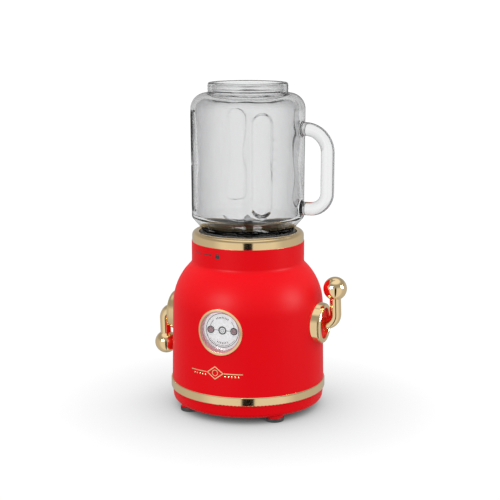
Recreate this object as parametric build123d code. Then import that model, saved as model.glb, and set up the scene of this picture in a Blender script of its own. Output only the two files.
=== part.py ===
from build123d import *
import math
import os

# Countertop blender with a glass jar.  Millimetres, +Z up, origin on the axis at floor level.
# The gauge faces -Y, the jar's handle and the raised lever point to +X.

# ---------------------------------------------------------------- driving sizes
GAP = 0.3                      # air between pieces that move past each other
RUNNING = 0.05                 # radial clearance of a shaft in its bearing
SLACK = 0.1                    # clearance between fixed pieces
EDGE = 0.8                     # usual rounding of a moulded edge
OVERLAP = 1.0                  # how far one part of a piece runs into the next, or a tool past a face
THROUGH_WALL = (40.0, 80.0)    # reach of the tools that cut the shell from outside

# base shell
WALL = 2.5
COLLAR_R = 50.4
COLLAR_TOP_Z = 151.0
CREASE_Z = 131.5               # where the straight collar meets the dome
DOME_FOOT_R = 67.62
DOME_FOOT_Z = 94.0             # the dome starts here, tangent to the side
SIDE_FOOT_R = 68.9
SHELL_FOOT_Z = 25.7
SEAT_BOSS_R = 3.5
RIB_T = 2.5
SEAT_SCREW_BITE = 7.2
COVER_SCREW_BITE = 12.0
GLAND_HOLE_R = 5.5

# trim and lower shell
BAND_R = 70.0
BAND_FOOT_Z = 17.8
BAND_SEAT_R = 66.2             # inside of the band
TRIM_TOP_Z = 160.5
TRIM_R = 50.0
TRIM_BORE_R = 43.5
TRIM_OUTER_ROUND, TRIM_INNER_ROUND = 4.4, 2.0
TRIM_SPIGOT_T, TRIM_SPIGOT_DEPTH = 1.2, 4.0
FLOOR_LOW_Z = 5.9
FLOOR_TOP_Z = 8.4
LOWER_WALL_R = 65.0
SPIGOT_R = 66.1
SPIGOT_TOP_Z = 31.0
SPIGOT_BORE_R = 63.9
SPIGOT_LOW_Z = 15.0
TRAY_FLAT_R, TRAY_ROUND, TRAY_INNER_ROUND = 67.5, 4.6, 3.0
VENT_COUNT, VENT_PITCH_R, VENT_LENGTH, VENT_WIDTH = 20, 22.5, 17, 3

# feet and cover screws
FOOT_PITCH_R = 57.0
FOOT_R = 8.5
FOOT_PAD_Z = 3.5
FOOT_ANGLES = (45, 135, 225, 315)
FOOT_STUD_R = 2.5
FOOT_BOSS_R = 7.8
POST_PITCH_R = 58.5
POST_R = 4.0
POST_LOW_Z = 12.0
POST_TOP_Z = 48.0
POST_ANGLES = (22, 158, 202, 338)
SCREW_R = 1.5
SCREW_HEAD_R = 3.0
SCREW_HOLE_R = 1.8             # clearance hole
SCREW_SINK_R, SCREW_SINK_Z = 3.4, 9.5
RECESS_HALF, RECESS_T, RECESS_DEPTH = 1.6, 0.7, 1.0
COVER_HEAD_Z, COVER_TIP_Z = 7.2, 22.0
SEAT_HEAD_Z, SEAT_TIP_Z = 113.2, 124.5
DAMPER_HEAD_Z, DAMPER_TIP_Z = 89.0, 110.0

# jar seat
SEAT_BORE_R = 44.6
SEAT_R = 46.5
SEAT_FLOOR_Z = 118.0
SEAT_FLOOR_TOP_Z = 120.5
SEAT_HOLE_R = 15.0
SEAT_FLANGE_R = 57.0
SEAT_FLANGE_LOW_Z = 115.5
SEAT_SCREW_R = 52.0            # pitch radius of the seat screws
LEDGE_BORE_R = 41.5
LEDGE_LOW_Z = 134.0
LEDGE_TOP_Z = 137.0
LEDGE_MIDDLE_DEG, LEDGE_DEG = 28, 34
STOP_MIDDLE_DEG, STOP_DEG, STOP_DROP = 42, 5, 5.0
SEAT_POST_R, SEAT_POST_LOW_Z, SEAT_POST_HOLE_Z = 5.0, 101.0, 112.5

# twist lock of the jar
TWIST_DEG = 30.0
LOCK_ANGLES = (0, 120, 240)
LUG_HALF_DEG = 8.0
LUG_LOW_Z = 129.6
RING_TURN_R, RING_TURN_BORE_R = 43.9, 36.0
KEY_DEG, KEY_RISE = 10, 3.8
KEYWAY_DEG, KEYWAY_TOP_Z = 12, 129.0
GROOVE_DEPTH = 1.35            # in the middle of the switch ramp
GROOVE_BACK, GROOVE_FRONT, GROOVE_HALF = -13.0, 14.0, 6.0

# blade base (the jar's screwed-on bottom)
BASE_COLLAR_R = 42.8
BASE_COLLAR_TOP_Z = 160.4
BASE_SOCKET_R = 39.0
BASE_FLOOR_LOW_Z = 141.0
BASE_FLOOR_TOP_Z = 144.0
SKIRT_R = 41.0
SKIRT_BORE_R = 37.2
SKIRT_LOW_Z = 125.0
LUG_R = 43.2
HOUSING_R = 9.0
HOUSING_LOW_Z = 133.5
HOUSING_TOP_Z = 158.6
HOUSING_FLARE, HOUSING_WEB_T, HOUSING_WEB_COUNT = 3.0, 2.0, 6
BUSHING_R = 6.0
BUSHING_LOW_Z = (134.0, 149.5)
BUSHING_TOP_Z = (141.5, 156.6)
SPINDLE_R = 3.0
SPINDLE_LOW_Z, SPINDLE_TOP_Z = 127.0, 168.6
SPINDLE_SHOULDER_R, SPINDLE_SHOULDER_Z, SPINDLE_TIP_R = 6.5, 159.2, 2.5
CLIP_R, CLIP_LOW_Z, CLIP_TOP_Z = 4.6, 132.4, 133.2

# glass jar
GASKET_TOP_Z = 146.0
NECK_R = 38.4
NECK_BORE_R = 34.0
JAR_R = 50.0
JAR_BAND_R = 50.5
JAR_WALL = 4.2
SHOULDER_TOP_Z = 282.0
JAR_TOP_Z = 291.2
MOUTH_R = 35.2
MOUTH_BORE_R = 31.4
PANEL_ANGLES = (-55, 35, 125, 215)
PANEL_WIDTH = 17.5
PANEL_LOW_Z = 180.0
PANEL_TOP_Z = 267.0
PANEL_DEPTH = 1.2
HANDLE_R = 5.9
HANDLE_REACH = 73.7            # centreline of the grip from the jar's axis
HANDLE_LOW_Z = 182.5
HANDLE_TOP_Z = 252.0
TICK_ANGLE = -42.4
TICK_HEIGHTS = (212.0, 220.5, 229.0, 237.5, 246.0)

# blades
BLADE_Z = 162.0
BLADE_T = 1.3
BEND_R = 11.0
BLADE_HUB_R = 8.5
BLADE_HOLE_R = 2.55
BLADE_TIP_SHARE = 0.35         # width of a wing's tip against its root
NUT_ACROSS_R, NUT_T, NUT_DOME_R, NUT_DOME_H = 4.6, 3.0, 4.0, 5.2

# levers
LEVER_Z = 80.8
LEVER_ARM_R = 5.0
LEVER_BEND_R = 9.0
LEVER_STEM_X = 83.1
LEVER_BALL_X = 82.0
LEVER_BALL_R = 10.4
LEVER_THROW = 32.2             # pivot to ball centre
RING_R = 19.0
RING_FRONT_X = 74.0
RING_BORE_R = 13.6
RING_BARREL_R = 15.6
DISC_FRONT_X = 71.0
LEVER_SPINDLE_R = 3.0
LEVER_NUT_R, LEVER_NUT_LOW_X, LEVER_NUT_TOP_X = 20.0, 58.5, 61.8
RING_BACK_X = 64.0
RING_LIP_R, RING_FLARE_X, RING_FLARE_R = 17.2, 71.0, 18.0
DISC_T, DISC_HUB_R, DISC_HUB_X = 2.5, 6.0, 60.0
LEVER_SWITCH_X, LEVER_SWITCH_W, LEVER_SWITCH_H, LEVER_SWITCH_T = 46.5, 18, 20, 12.0

# gauge
GAUGE_Z = 82.4
GAUGE_R = 20.15
GAUGE_HOUSING_R = 18.3
GAUGE_BORE_R = 17.3
BEZEL_PROUD = 1.1
DIAL_Y = 61.0
LAMP_PITCH = 10.7
LAMP_R = 2.5
LAMP_PROUD, LAMP_ROUND = 0.8, 0.7
LENS_LIFT, LENS_T = 1.2, 1.0
GAUGE_BACK_Y = 57.0
BOARD_LOW_Y, BOARD_TOP_Y, BOARD_R = 58.5, 59.6, 15.8
GAUGE_NUT_R, GAUGE_NUT_LOW_Y, GAUGE_NUT_TOP_Y = 22.3, 57.2, 60.3

# cord gland
GLAND_Z = 38.0
GLAND_R, GLAND_BORE_R, GLAND_FLANGE_R = 5.4, 3.2, 7.5
GLAND_BACK_Y, GLAND_CLIP_T, GLAND_CLIP_PROUD = 60.0, 2.0, 1.8
GLAND_FACE_Y, GLAND_END_Y, GLAND_FLANGE_Y = 69.0, 69.7, 66.0

# motor
SHAFT_R = 3.0
CORE_LOW_Z = 50.0
CORE_TOP_Z = 82.0
STATOR_R = 34.0
STATOR_BORE_R = 17.9
ROTOR_R = 17.4
TIE_R = 37.0                   # pitch radius of the motor's tie bolts
TIE_ANGLES = (45, 135, 225, 315)
DAMPER_R = 40.0                # pitch radius of the rubber mounts
DAMPER_ANGLES = (0, 90, 180, 270)
DOG_COUNT = 3
DOG_DEG = 26.0
DOG_PHASE_DEG = 45.0
SWITCH_ANGLE = 45.0
PLUNGER_TRAVEL = 1.5
PLUNGER_R, PLUNGER_LOW_Z = 1.5, 108.4
SWITCH_HOLE_R = 1.6
SWITCH_LOW_Z, SWITCH_TOP_Z = 103.5, 115.4
DOG_BORE_R, DOG_R = 6.5, 12.0
COUPLING_WEB_R = 12.5
YOKE_BORE_R = 28.0
POLE_HALF, SHOE_R, SHOE_DEG = 12.0, 21.0, 105
TIE_HOLE_R, EAR_PROUD, EAR_HALF = 2.0, 4.0, 4.0
COIL_LOW_Z, COIL_TOP_Z, COIL_HALF = 43.5, 88.5, 17.5
SLOT_COUNT, SLOT_HALF, SLOT_FOOT_R, SLOT_TOP_R = 12, 1.5, 11.5, 17.0
WINDING_LOW_Z, WINDING_TOP_Z, WINDING_BORE_R, WINDING_END_R = 44.0, 88.0, 5.0, 14.0
COMMUTATOR_R, COMMUTATOR_LOW_Z, COMMUTATOR_TOP_Z, BAR_COUNT = 9.5, 30.5, 43.0, 18
FAN_R, FAN_LOW_Z, FAN_HUB_TOP_Z, VANE_COUNT, VANE_LEAN_DEG = 30.0, 11.5, 19.0, 11, 28
BEARING_R, BEARING_SEAT_R, BOSS_R = 8.0, 7.0, 11.5
LOWER_BEARING_Z = (21.0, 27.0)
UPPER_BEARING_Z = (96.0, 102.0)
LOWER_PLATE_Z = (27.0, 30.0)
UPPER_PLATE_Z = (92.8, 96.0)
PLATE_ARM_HALF, PLATE_POST_R = 4.5, 4.2
PAD_R, PAD_HOLE_R, SPOKE_HALF = 7.0, 3.5, 5.0
SHAFT_LOW_Z, SHAFT_TOP_Z = 10.5, 122.6
BOLT_HEAD_R, BOLT_R, BOLT_LOW_Z, BOLT_TOP_Z, BOLT_NUT_T = 3.4, 1.95, 24.0, 98.0, 2.4
BRUSH_LOW_Z, BRUSH_TOP_Z, BRUSH_HALF, BRUSH_GAP = 32.6, 39.4, 3.5, 0.2
SPRING_PITCH, SPRING_LENGTH, SPRING_R, SPRING_WIRE_R = 2.3, 8.5, 2.4, 0.35


# ---------------------------------------------------------------- shape helpers
def outline_face(points):
    """Face in the X-Z plane from (radius, height) or (radius, height, corner radius) points."""
    corners = [(p[0], p[1]) for p in points]
    radii = [p[2] if len(p) > 2 else 0 for p in points]
    return Plane.XZ * make_face(FilletPolyline(*corners, radius=radii, close=True))


def turned(points):
    """Solid of revolution about Z."""
    return revolve(outline_face(points), Axis.Z)


def tube(outer_r, inner_r, low_z, high_z):
    return turned([(inner_r, low_z), (outer_r, low_z), (outer_r, high_z), (inner_r, high_z)])


def rod(radius, low_z, high_z):
    upright = (Align.CENTER, Align.CENTER, Align.MIN)
    return Pos(0, 0, low_z) * Cylinder(radius, high_z - low_z, align=upright)


def block(low, high):
    """Box between two opposite corners."""
    size = [b - a for a, b in zip(low, high)]
    middle = [(a + b) / 2 for a, b in zip(low, high)]
    return Pos(*middle) * Box(*size)


def sector(inner_r, outer_r, low_z, high_z, middle_deg, width_deg):
    """Part of a ring."""
    face = outline_face([(inner_r, low_z), (outer_r, low_z), (outer_r, high_z), (inner_r, high_z)])
    return Rot(0, 0, middle_deg - width_deg / 2) * revolve(face, Axis.Z, revolution_arc=width_deg)


def around(angles, shape):
    """Copies of a shape turned about Z."""
    return [Rot(0, 0, angle) * shape for angle in angles]


def evenly(count, start=0.0):
    return [start + 360.0 * i / count for i in range(count)]


def out_to(pitch_r, shape):
    return Pos(pitch_r, 0, 0) * shape


def to_right(shape):
    """Stand a shape made along Z on the lever axis, pointing to +X."""
    return Pos(0, 0, LEVER_Z) * Rot(0, 90, 0) * shape


def unmoved(shape):
    return shape


def half_turn(shape):
    """Turn a right-hand lever piece half a turn about Y, onto the left side, ball down."""
    return Pos(0, 0, LEVER_Z) * Rot(0, 180, 0) * Pos(0, 0, -LEVER_Z) * shape


def to_front(shape):
    """Stand a shape made along Z on the gauge axis, pointing to -Y."""
    return Pos(0, 0, GAUGE_Z) * Rot(90, 0, 0) * shape


def save(name, shape):
    if isinstance(shape, (list, tuple)):
        shape = Compound(children=[solid for piece in shape for solid in piece.solids()])
    export_step(shape, f"parts/{name}.step")


# ---------------------------------------------------------------- base shell
def shell_form(inset, grow=0.0):
    """Solid inside the shell's outer surface, moved in by inset or out by grow."""
    step = grow - inset
    dome_foot = (DOME_FOOT_R + step, DOME_FOOT_Z)
    lean = (DOME_FOOT_R - SIDE_FOOT_R, DOME_FOOT_Z - SHELL_FOOT_Z)
    rise = CREASE_Z - DOME_FOOT_Z
    run = DOME_FOOT_R - COLLAR_R
    bend = (rise ** 2 + run ** 2) / (2 * run)
    centre_r = DOME_FOOT_R - bend
    crease_z = DOME_FOOT_Z + math.sqrt((bend + step) ** 2 - (COLLAR_R + step - centre_r) ** 2)
    side = Line((SIDE_FOOT_R + step, SHELL_FOOT_Z), dome_foot)
    dome = TangentArc(dome_foot, (COLLAR_R + step, crease_z), tangent=lean)
    rest = Polyline(dome @ 1, (COLLAR_R + step, COLLAR_TOP_Z), (0, COLLAR_TOP_Z), (0, SHELL_FOOT_Z),
                    side @ 0)
    return revolve(Plane.XZ * make_face([side, dome, rest]), Axis.Z)


def base_shell(outer):
    shell = outer - shell_form(WALL)
    seat_boss = out_to(SEAT_SCREW_R, rod(SEAT_BOSS_R, SEAT_FLOOR_Z, CREASE_Z)) & outer
    post = out_to(POST_PITCH_R, rod(POST_R, POST_LOW_Z, POST_TOP_Z))
    rib = block((POST_PITCH_R, -RIB_T / 2, SPIGOT_TOP_Z + 2), (SIDE_FOOT_R - WALL, RIB_T / 2, POST_TOP_Z))
    shell += around(FOOT_ANGLES, seat_boss)
    shell += around(POST_ANGLES, post + (rib & outer))
    seat_hole = rod(SCREW_R, SEAT_FLOOR_Z - OVERLAP, SEAT_FLOOR_Z + SEAT_SCREW_BITE)
    post_hole = rod(SCREW_R, POST_LOW_Z - OVERLAP, POST_LOW_Z + COVER_SCREW_BITE)
    shell -= around(FOOT_ANGLES, out_to(SEAT_SCREW_R, seat_hole))
    shell -= around(POST_ANGLES, out_to(POST_PITCH_R, post_hole))
    lever_hole = to_right(rod(RING_BARREL_R + SLACK, *THROUGH_WALL))
    shell -= [lever_hole, half_turn(lever_hole)]
    shell -= to_front(rod(GAUGE_HOUSING_R + SLACK, *THROUGH_WALL))
    shell -= Pos(0, 0, GLAND_Z) * Rot(-90, 0, 0) * rod(GLAND_HOLE_R, *THROUGH_WALL)
    return shell


def top_trim_ring():
    crown = turned([(TRIM_BORE_R, COLLAR_TOP_Z), (TRIM_R, COLLAR_TOP_Z),
                    (TRIM_R, TRIM_TOP_Z, TRIM_OUTER_ROUND),
                    (TRIM_BORE_R, TRIM_TOP_Z, TRIM_INNER_ROUND)])
    inside = COLLAR_R - WALL - SLACK
    spigot = tube(inside, inside - TRIM_SPIGOT_T, COLLAR_TOP_Z - TRIM_SPIGOT_DEPTH, COLLAR_TOP_Z + OVERLAP)
    return crown + spigot


def bottom_trim_band():
    return turned([(BAND_SEAT_R, BAND_FOOT_Z), (BAND_R, BAND_FOOT_Z, EDGE), (BAND_R, SHELL_FOOT_Z, 1.2),
                   (BAND_SEAT_R, SHELL_FOOT_Z)])


def lower_shell():
    tray = turned([(0, FLOOR_LOW_Z), (TRAY_FLAT_R, FLOOR_LOW_Z, TRAY_ROUND), (SIDE_FOOT_R, BAND_FOOT_Z),
                   (LOWER_WALL_R, BAND_FOOT_Z),
                   (LOWER_WALL_R, FLOOR_TOP_Z, TRAY_INNER_ROUND), (0, FLOOR_TOP_Z)])
    tray += turned([(SPIGOT_BORE_R, SPIGOT_LOW_Z), (LOWER_WALL_R + 0.5, SPIGOT_LOW_Z),
                    (LOWER_WALL_R + 0.5, BAND_FOOT_Z),
                    (SPIGOT_R, BAND_FOOT_Z), (SPIGOT_R, SPIGOT_TOP_Z), (SPIGOT_BORE_R, SPIGOT_TOP_Z)])
    tray += around(FOOT_ANGLES, out_to(FOOT_PITCH_R, rod(FOOT_BOSS_R, FOOT_PAD_Z, FLOOR_TOP_Z)))
    tray += around(POST_ANGLES, out_to(POST_PITCH_R, rod(POST_R + 1.2, FLOOR_LOW_Z, POST_LOW_Z)))
    stud_hole = rod(FOOT_STUD_R, FOOT_PAD_Z - OVERLAP, FLOOR_TOP_Z + OVERLAP)
    tray -= around(FOOT_ANGLES, out_to(FOOT_PITCH_R, stud_hole))
    tray -= around(POST_ANGLES, out_to(POST_PITCH_R, rod(SCREW_HOLE_R, FLOOR_LOW_Z - 1, POST_LOW_Z + 1)))
    tray -= around(POST_ANGLES, out_to(POST_PITCH_R, rod(SCREW_SINK_R, FLOOR_LOW_Z - 1, SCREW_SINK_Z)))
    slot = Pos(VENT_PITCH_R, 0) * SlotOverall(VENT_LENGTH, VENT_WIDTH)
    vent = Pos(0, 0, FLOOR_LOW_Z - OVERLAP) * extrude(slot, 5)
    tray -= around(evenly(VENT_COUNT), vent)
    return tray


def foot():
    pad = turned([(0, 0), (FOOT_R, 0, EDGE), (FOOT_R, FOOT_PAD_Z, EDGE), (0, FOOT_PAD_Z)])
    return out_to(FOOT_PITCH_R, pad + rod(FOOT_STUD_R, FOOT_PAD_Z - 0.5, FLOOR_TOP_Z + 0.5))


def screw(head_low_z, head_top_z, tip_z):
    """Pan-head screw standing head down, with a cross recess."""
    head = turned([(0, head_low_z), (SCREW_HEAD_R, head_low_z, EDGE), (SCREW_HEAD_R, head_top_z),
                   (0, head_top_z)])
    recess = [Rot(0, 0, turn) * block((-RECESS_HALF, -RECESS_T / 2, head_low_z - OVERLAP),
                                      (RECESS_HALF, RECESS_T / 2, head_low_z + RECESS_DEPTH))
              for turn in (0, 90)]
    return head + rod(SCREW_R - 0.05, head_low_z + 1, tip_z) - recess


def cord_gland(outer):
    clip_r, clip_y = GLAND_R + GLAND_CLIP_PROUD, GLAND_BACK_Y + GLAND_CLIP_T
    barrel = turned([(GLAND_BORE_R, GLAND_BACK_Y), (clip_r, GLAND_BACK_Y), (clip_r, clip_y),
                     (GLAND_R, clip_y), (GLAND_R, GLAND_FACE_Y), (GLAND_BORE_R, GLAND_FACE_Y)])
    flange = turned([(GLAND_BORE_R, GLAND_FLANGE_Y), (GLAND_FLANGE_R, GLAND_FLANGE_Y),
                     (GLAND_FLANGE_R, GLAND_END_Y, EDGE), (GLAND_BORE_R, GLAND_END_Y)])
    at_rear = Pos(0, 0, GLAND_Z) * Rot(-90, 0, 0)
    return at_rear * barrel + ((at_rear * flange) - outer)


# ---------------------------------------------------------------- jar seat and twist lock
def jar_seat():
    cup = tube(SEAT_R, SEAT_BORE_R, SEAT_FLOOR_Z, COLLAR_TOP_Z - SLACK)
    cup += tube(SEAT_R, SEAT_HOLE_R, SEAT_FLOOR_Z, SEAT_FLOOR_TOP_Z)
    cup += tube(SEAT_FLANGE_R, SEAT_BORE_R - 1, SEAT_FLANGE_LOW_Z, SEAT_FLOOR_Z)
    cup += tube(SEAT_HOLE_R + 2, SEAT_HOLE_R, SEAT_FLOOR_Z - 3, SEAT_FLOOR_Z)
    for start in LOCK_ANGLES:
        cup += sector(LEDGE_BORE_R, SEAT_BORE_R + 1, LEDGE_LOW_Z, LEDGE_TOP_Z, start + LEDGE_MIDDLE_DEG,
                      LEDGE_DEG)
        cup += sector(LEDGE_BORE_R, SEAT_BORE_R + 1, LEDGE_LOW_Z - STOP_DROP, LEDGE_TOP_Z,
                      start + STOP_MIDDLE_DEG, STOP_DEG)
    post = out_to(DAMPER_R, rod(SEAT_POST_R, SEAT_POST_LOW_Z, SEAT_FLOOR_Z)
                  - rod(SCREW_R, SEAT_POST_LOW_Z - OVERLAP, SEAT_POST_HOLE_Z))
    cup += around(DAMPER_ANGLES, post)
    cup -= around(FOOT_ANGLES, out_to(SEAT_SCREW_R, rod(SCREW_R + 0.2, 110.0, 120.0)))
    cup -= Rot(0, 0, SWITCH_ANGLE) * out_to(DAMPER_R, rod(SWITCH_HOLE_R, 110.0, 125.0))
    return cup


def interlock_ring():
    low_z, top_z = SEAT_FLOOR_TOP_Z + GAP, SKIRT_LOW_Z - 0.4
    ring = tube(RING_TURN_R, RING_TURN_BORE_R, low_z, top_z)
    key = sector(SKIRT_BORE_R + GAP, SKIRT_R - GAP, top_z - OVERLAP, top_z + KEY_RISE, 0, KEY_DEG)
    ring += around(LOCK_ANGLES, key)
    slope = PLUNGER_TRAVEL / (2 * DAMPER_R * math.sin(math.radians(TWIST_DEG / 2)))
    under = low_z - OVERLAP
    front_z = low_z + GROOVE_DEPTH + GROOVE_FRONT * slope
    back_z = low_z + GROOVE_DEPTH + GROOVE_BACK * slope
    ramp = Plane.XZ * make_face(Polyline((GROOVE_BACK, under), (GROOVE_FRONT, under), (GROOVE_FRONT, front_z),
                                         (GROOVE_BACK, back_z), close=True))
    # the ramp runs along the ring's tangent, deepest where the plunger stands at rest
    groove = Rot(0, 0, 90) * extrude(ramp, GROOVE_HALF, both=True)
    ring -= Rot(0, 0, SWITCH_ANGLE - TWIST_DEG / 2) * out_to(DAMPER_R, groove)
    return ring


def jar_switch():
    body = block((34.5, -9, SWITCH_LOW_Z), (43.4, 9, SWITCH_TOP_Z))
    body -= out_to(DAMPER_R, rod(SWITCH_HOLE_R, 106.0, 116.0))
    tab = block((36.0, -11.5, SWITCH_LOW_Z + 1), (42.0, 11.5, SWITCH_LOW_Z + 3))
    blades = [block((37.5, y - 0.4, 99.0), (40.5, y + 0.4, SWITCH_LOW_Z + 0.5)) for y in (-5, 0, 5)]
    return Rot(0, 0, SWITCH_ANGLE) * (body + tab + blades)


def switch_plunger():
    tip_z = SEAT_FLOOR_TOP_Z + GAP + GROOVE_DEPTH + PLUNGER_TRAVEL / 2 - 0.25
    pin = turned([(0, PLUNGER_LOW_Z), (PLUNGER_R, PLUNGER_LOW_Z), (PLUNGER_R, tip_z, 0.9), (0, tip_z)])
    return Rot(0, 0, SWITCH_ANGLE) * out_to(DAMPER_R, pin)


# ---------------------------------------------------------------- blade base and blades
def blade_base():
    cup = turned([(0, BASE_FLOOR_LOW_Z), (BASE_COLLAR_R, BASE_FLOOR_LOW_Z),
                  (BASE_COLLAR_R, BASE_COLLAR_TOP_Z, 1.0), (BASE_SOCKET_R, BASE_COLLAR_TOP_Z),
                  (BASE_SOCKET_R, BASE_FLOOR_TOP_Z), (0, BASE_FLOOR_TOP_Z)])
    cup += tube(SKIRT_R, SKIRT_BORE_R, SKIRT_LOW_Z, BASE_FLOOR_LOW_Z)
    cup += turned([(0, HOUSING_LOW_Z), (HOUSING_R, HOUSING_LOW_Z),
                   (HOUSING_R + HOUSING_FLARE, BASE_FLOOR_TOP_Z, 2.0),
                   (HOUSING_R, HOUSING_TOP_Z, 1.5), (0, HOUSING_TOP_Z)])
    lug = sector(SKIRT_BORE_R + OVERLAP, LUG_R, LUG_LOW_Z, LEDGE_LOW_Z - 0.4, 0, 2 * LUG_HALF_DEG)
    cup += around(LOCK_ANGLES, lug)
    web = block((HOUSING_R - OVERLAP, -HOUSING_WEB_T / 2, HOUSING_LOW_Z + 2),
                (SKIRT_BORE_R + OVERLAP, HOUSING_WEB_T / 2, BASE_FLOOR_LOW_Z + OVERLAP))
    cup += around(evenly(HOUSING_WEB_COUNT, 30), web)
    keyway = sector(SKIRT_BORE_R - 1, SKIRT_R + 0.001, SKIRT_LOW_Z - 1, KEYWAY_TOP_Z, 0, KEYWAY_DEG)
    cup -= around(LOCK_ANGLES, keyway)
    cup -= rod(SPINDLE_R + 0.6, HOUSING_LOW_Z - 1, HOUSING_TOP_Z + 1)
    cup -= rod(BUSHING_R, HOUSING_LOW_Z - 1, BUSHING_TOP_Z[0])
    cup -= rod(BUSHING_R, BUSHING_LOW_Z[1], HOUSING_TOP_Z + 1)
    return cup


def spindle_bushings():
    bore_r = SPINDLE_R + RUNNING
    return [tube(BUSHING_R, bore_r, low_z, top_z) for low_z, top_z in zip(BUSHING_LOW_Z, BUSHING_TOP_Z)]


def spindle_seal():
    return turned([(SPINDLE_R + RUNNING, BUSHING_TOP_Z[1]), (BUSHING_R, BUSHING_TOP_Z[1]),
                   (BUSHING_R, HOUSING_TOP_Z),
                   (4.4, HOUSING_TOP_Z), (SPINDLE_R + RUNNING, 157.8)])


def blade_spindle():
    return turned([(0, SPINDLE_LOW_Z), (SPINDLE_R, SPINDLE_LOW_Z), (SPINDLE_R, SPINDLE_SHOULDER_Z),
                   (SPINDLE_SHOULDER_R, SPINDLE_SHOULDER_Z), (SPINDLE_SHOULDER_R, BLADE_Z),
                   (SPINDLE_TIP_R, BLADE_Z), (SPINDLE_TIP_R, SPINDLE_TOP_Z, 0.5), (0, SPINDLE_TOP_Z)])


def spindle_clip():
    clip = tube(CLIP_R, SPINDLE_R, CLIP_LOW_Z, CLIP_TOP_Z)
    return clip - block((0, -SPINDLE_R / 2, CLIP_LOW_Z - OVERLAP), (6, SPINDLE_R / 2, CLIP_TOP_Z + OVERLAP))


def wing(angle, tilt, length, width, tip_width, z):
    """One blade wing: a flat root, then a tapered tip folded up or down from it."""
    root = block((0, -width / 2, z), (BEND_R, width / 2, z + BLADE_T))
    plan = Polyline((0, -width / 2), (length * 0.75, -tip_width / 2), (length, tip_width / 2),
                    (length * 0.8, width / 2), (0, width / 2), close=True)
    tip = extrude(make_face(plan), BLADE_T)
    fold_z = 0 if tilt > 0 else BLADE_T
    fold = Pos(BEND_R, 0, z + fold_z) * Rot(0, -tilt, 0) * Pos(0, 0, -fold_z)
    return Rot(0, 0, angle) * (root + fold * tip)


def blade(wings, z):
    plate = rod(BLADE_HUB_R, z, z + BLADE_T)
    for angle, tilt, length, width in wings:
        plate += wing(angle, tilt, length, width, width * BLADE_TIP_SHARE, z)
    return plate - rod(BLADE_HOLE_R, z - OVERLAP, z + BLADE_T + OVERLAP)


def lower_blade():
    wings = [(-69, 43, 13.0, 8.5), (111, 35, 13.0, 8.5), (-24, -9, 12.5, 8.5), (156, -9, 12.5, 8.5)]
    return blade(wings, BLADE_Z)


def upper_blade():
    return blade([(-159, 43, 14.5, 9.0), (21, 58, 13.5, 9.0)], BLADE_Z + BLADE_T)


def blade_nut():
    low_z = BLADE_Z + 2 * BLADE_T
    flats = Pos(0, 0, low_z) * extrude(RegularPolygon(NUT_ACROSS_R, 6), NUT_T)
    dome = turned([(0, low_z), (NUT_DOME_R, low_z), (NUT_DOME_R, low_z + NUT_DOME_H, 2.6),
                   (0, low_z + NUT_DOME_H)])
    return flats + dome - rod(SPINDLE_TIP_R, low_z - OVERLAP, SPINDLE_TOP_Z)


def dogs(inner_r, outer_r, low_z, high_z, phase):
    return [sector(inner_r, outer_r, low_z, high_z, angle, DOG_DEG) for angle in evenly(DOG_COUNT, phase)]


def driven_coupling():
    hub = tube(6.0, SPINDLE_R, SPINDLE_LOW_Z, CLIP_LOW_Z) + tube(COUPLING_WEB_R, 5, 128.6, 131.2)
    return hub + dogs(DOG_BORE_R, DOG_R, 123.4, 129.0, DOG_PHASE_DEG)


def drive_coupling():
    hub = tube(5.6, SHAFT_R, 116.0, 123.0) + tube(COUPLING_WEB_R, 5, 119.6, 122.6)
    return hub + dogs(DOG_BORE_R, DOG_R, 122.0, 127.8, 0)


# ---------------------------------------------------------------- glass jar
def jar_gasket():
    return turned([(33.5, BASE_FLOOR_TOP_Z), (BASE_SOCKET_R - GAP, BASE_FLOOR_TOP_Z),
                   (BASE_SOCKET_R - GAP, GASKET_TOP_Z), (33.5, GASKET_TOP_Z)])


def jar_outside():
    return turned([(0, GASKET_TOP_Z), (NECK_R, GASKET_TOP_Z, 0.8), (NECK_R, 160.9, 0.5), (41.2, 160.9, 0.8),
                   (42.0, 163.4, 3.0), (JAR_R, 172.6, 4.0), (JAR_R, 250.0), (JAR_BAND_R, 254.0),
                   (JAR_BAND_R, SHOULDER_TOP_Z, 14.0), (MOUTH_R, SHOULDER_TOP_Z, 1.2),
                   (MOUTH_R, JAR_TOP_Z, 1.8), (0, JAR_TOP_Z)])


def jar_inside():
    inner_r = JAR_R - JAR_WALL
    return turned([(0, GASKET_TOP_Z - 1), (NECK_BORE_R, GASKET_TOP_Z - 1), (NECK_BORE_R, 160.5, 5.0),
                   (inner_r, 174.5, 6.0), (inner_r, SHOULDER_TOP_Z - JAR_WALL, 10.0),
                   (MOUTH_BORE_R, SHOULDER_TOP_Z - JAR_WALL, 3.0), (MOUTH_BORE_R, JAR_TOP_Z + 1),
                   (0, JAR_TOP_Z + 1)])


def handle():
    root_x = JAR_R - JAR_WALL / 2
    route = FilletPolyline((root_x, 0, HANDLE_TOP_Z), (HANDLE_REACH, 0, HANDLE_TOP_Z),
                           (HANDLE_REACH, 0, HANDLE_LOW_Z), (root_x, 0, HANDLE_LOW_Z), radius=[20.0, 15.0])
    section = Plane(origin=(root_x, 0, HANDLE_TOP_Z), z_dir=(1, 0, 0)) * Circle(HANDLE_R)
    return sweep(section, path=route)


def panel_cutter():
    """Round-ended pocket tool: everything outside the sunk face, within the panel's outline."""
    height = PANEL_TOP_Z - PANEL_LOW_Z
    middle = Plane(origin=(0, 0, (PANEL_LOW_Z + PANEL_TOP_Z) / 2), x_dir=(0, 0, 1), z_dir=(1, 0, 0))
    bar = extrude(middle * SlotOverall(height, PANEL_WIDTH), 60)
    return bar - rod(JAR_R - PANEL_DEPTH, PANEL_LOW_Z - 5, PANEL_TOP_Z + 5)


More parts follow.
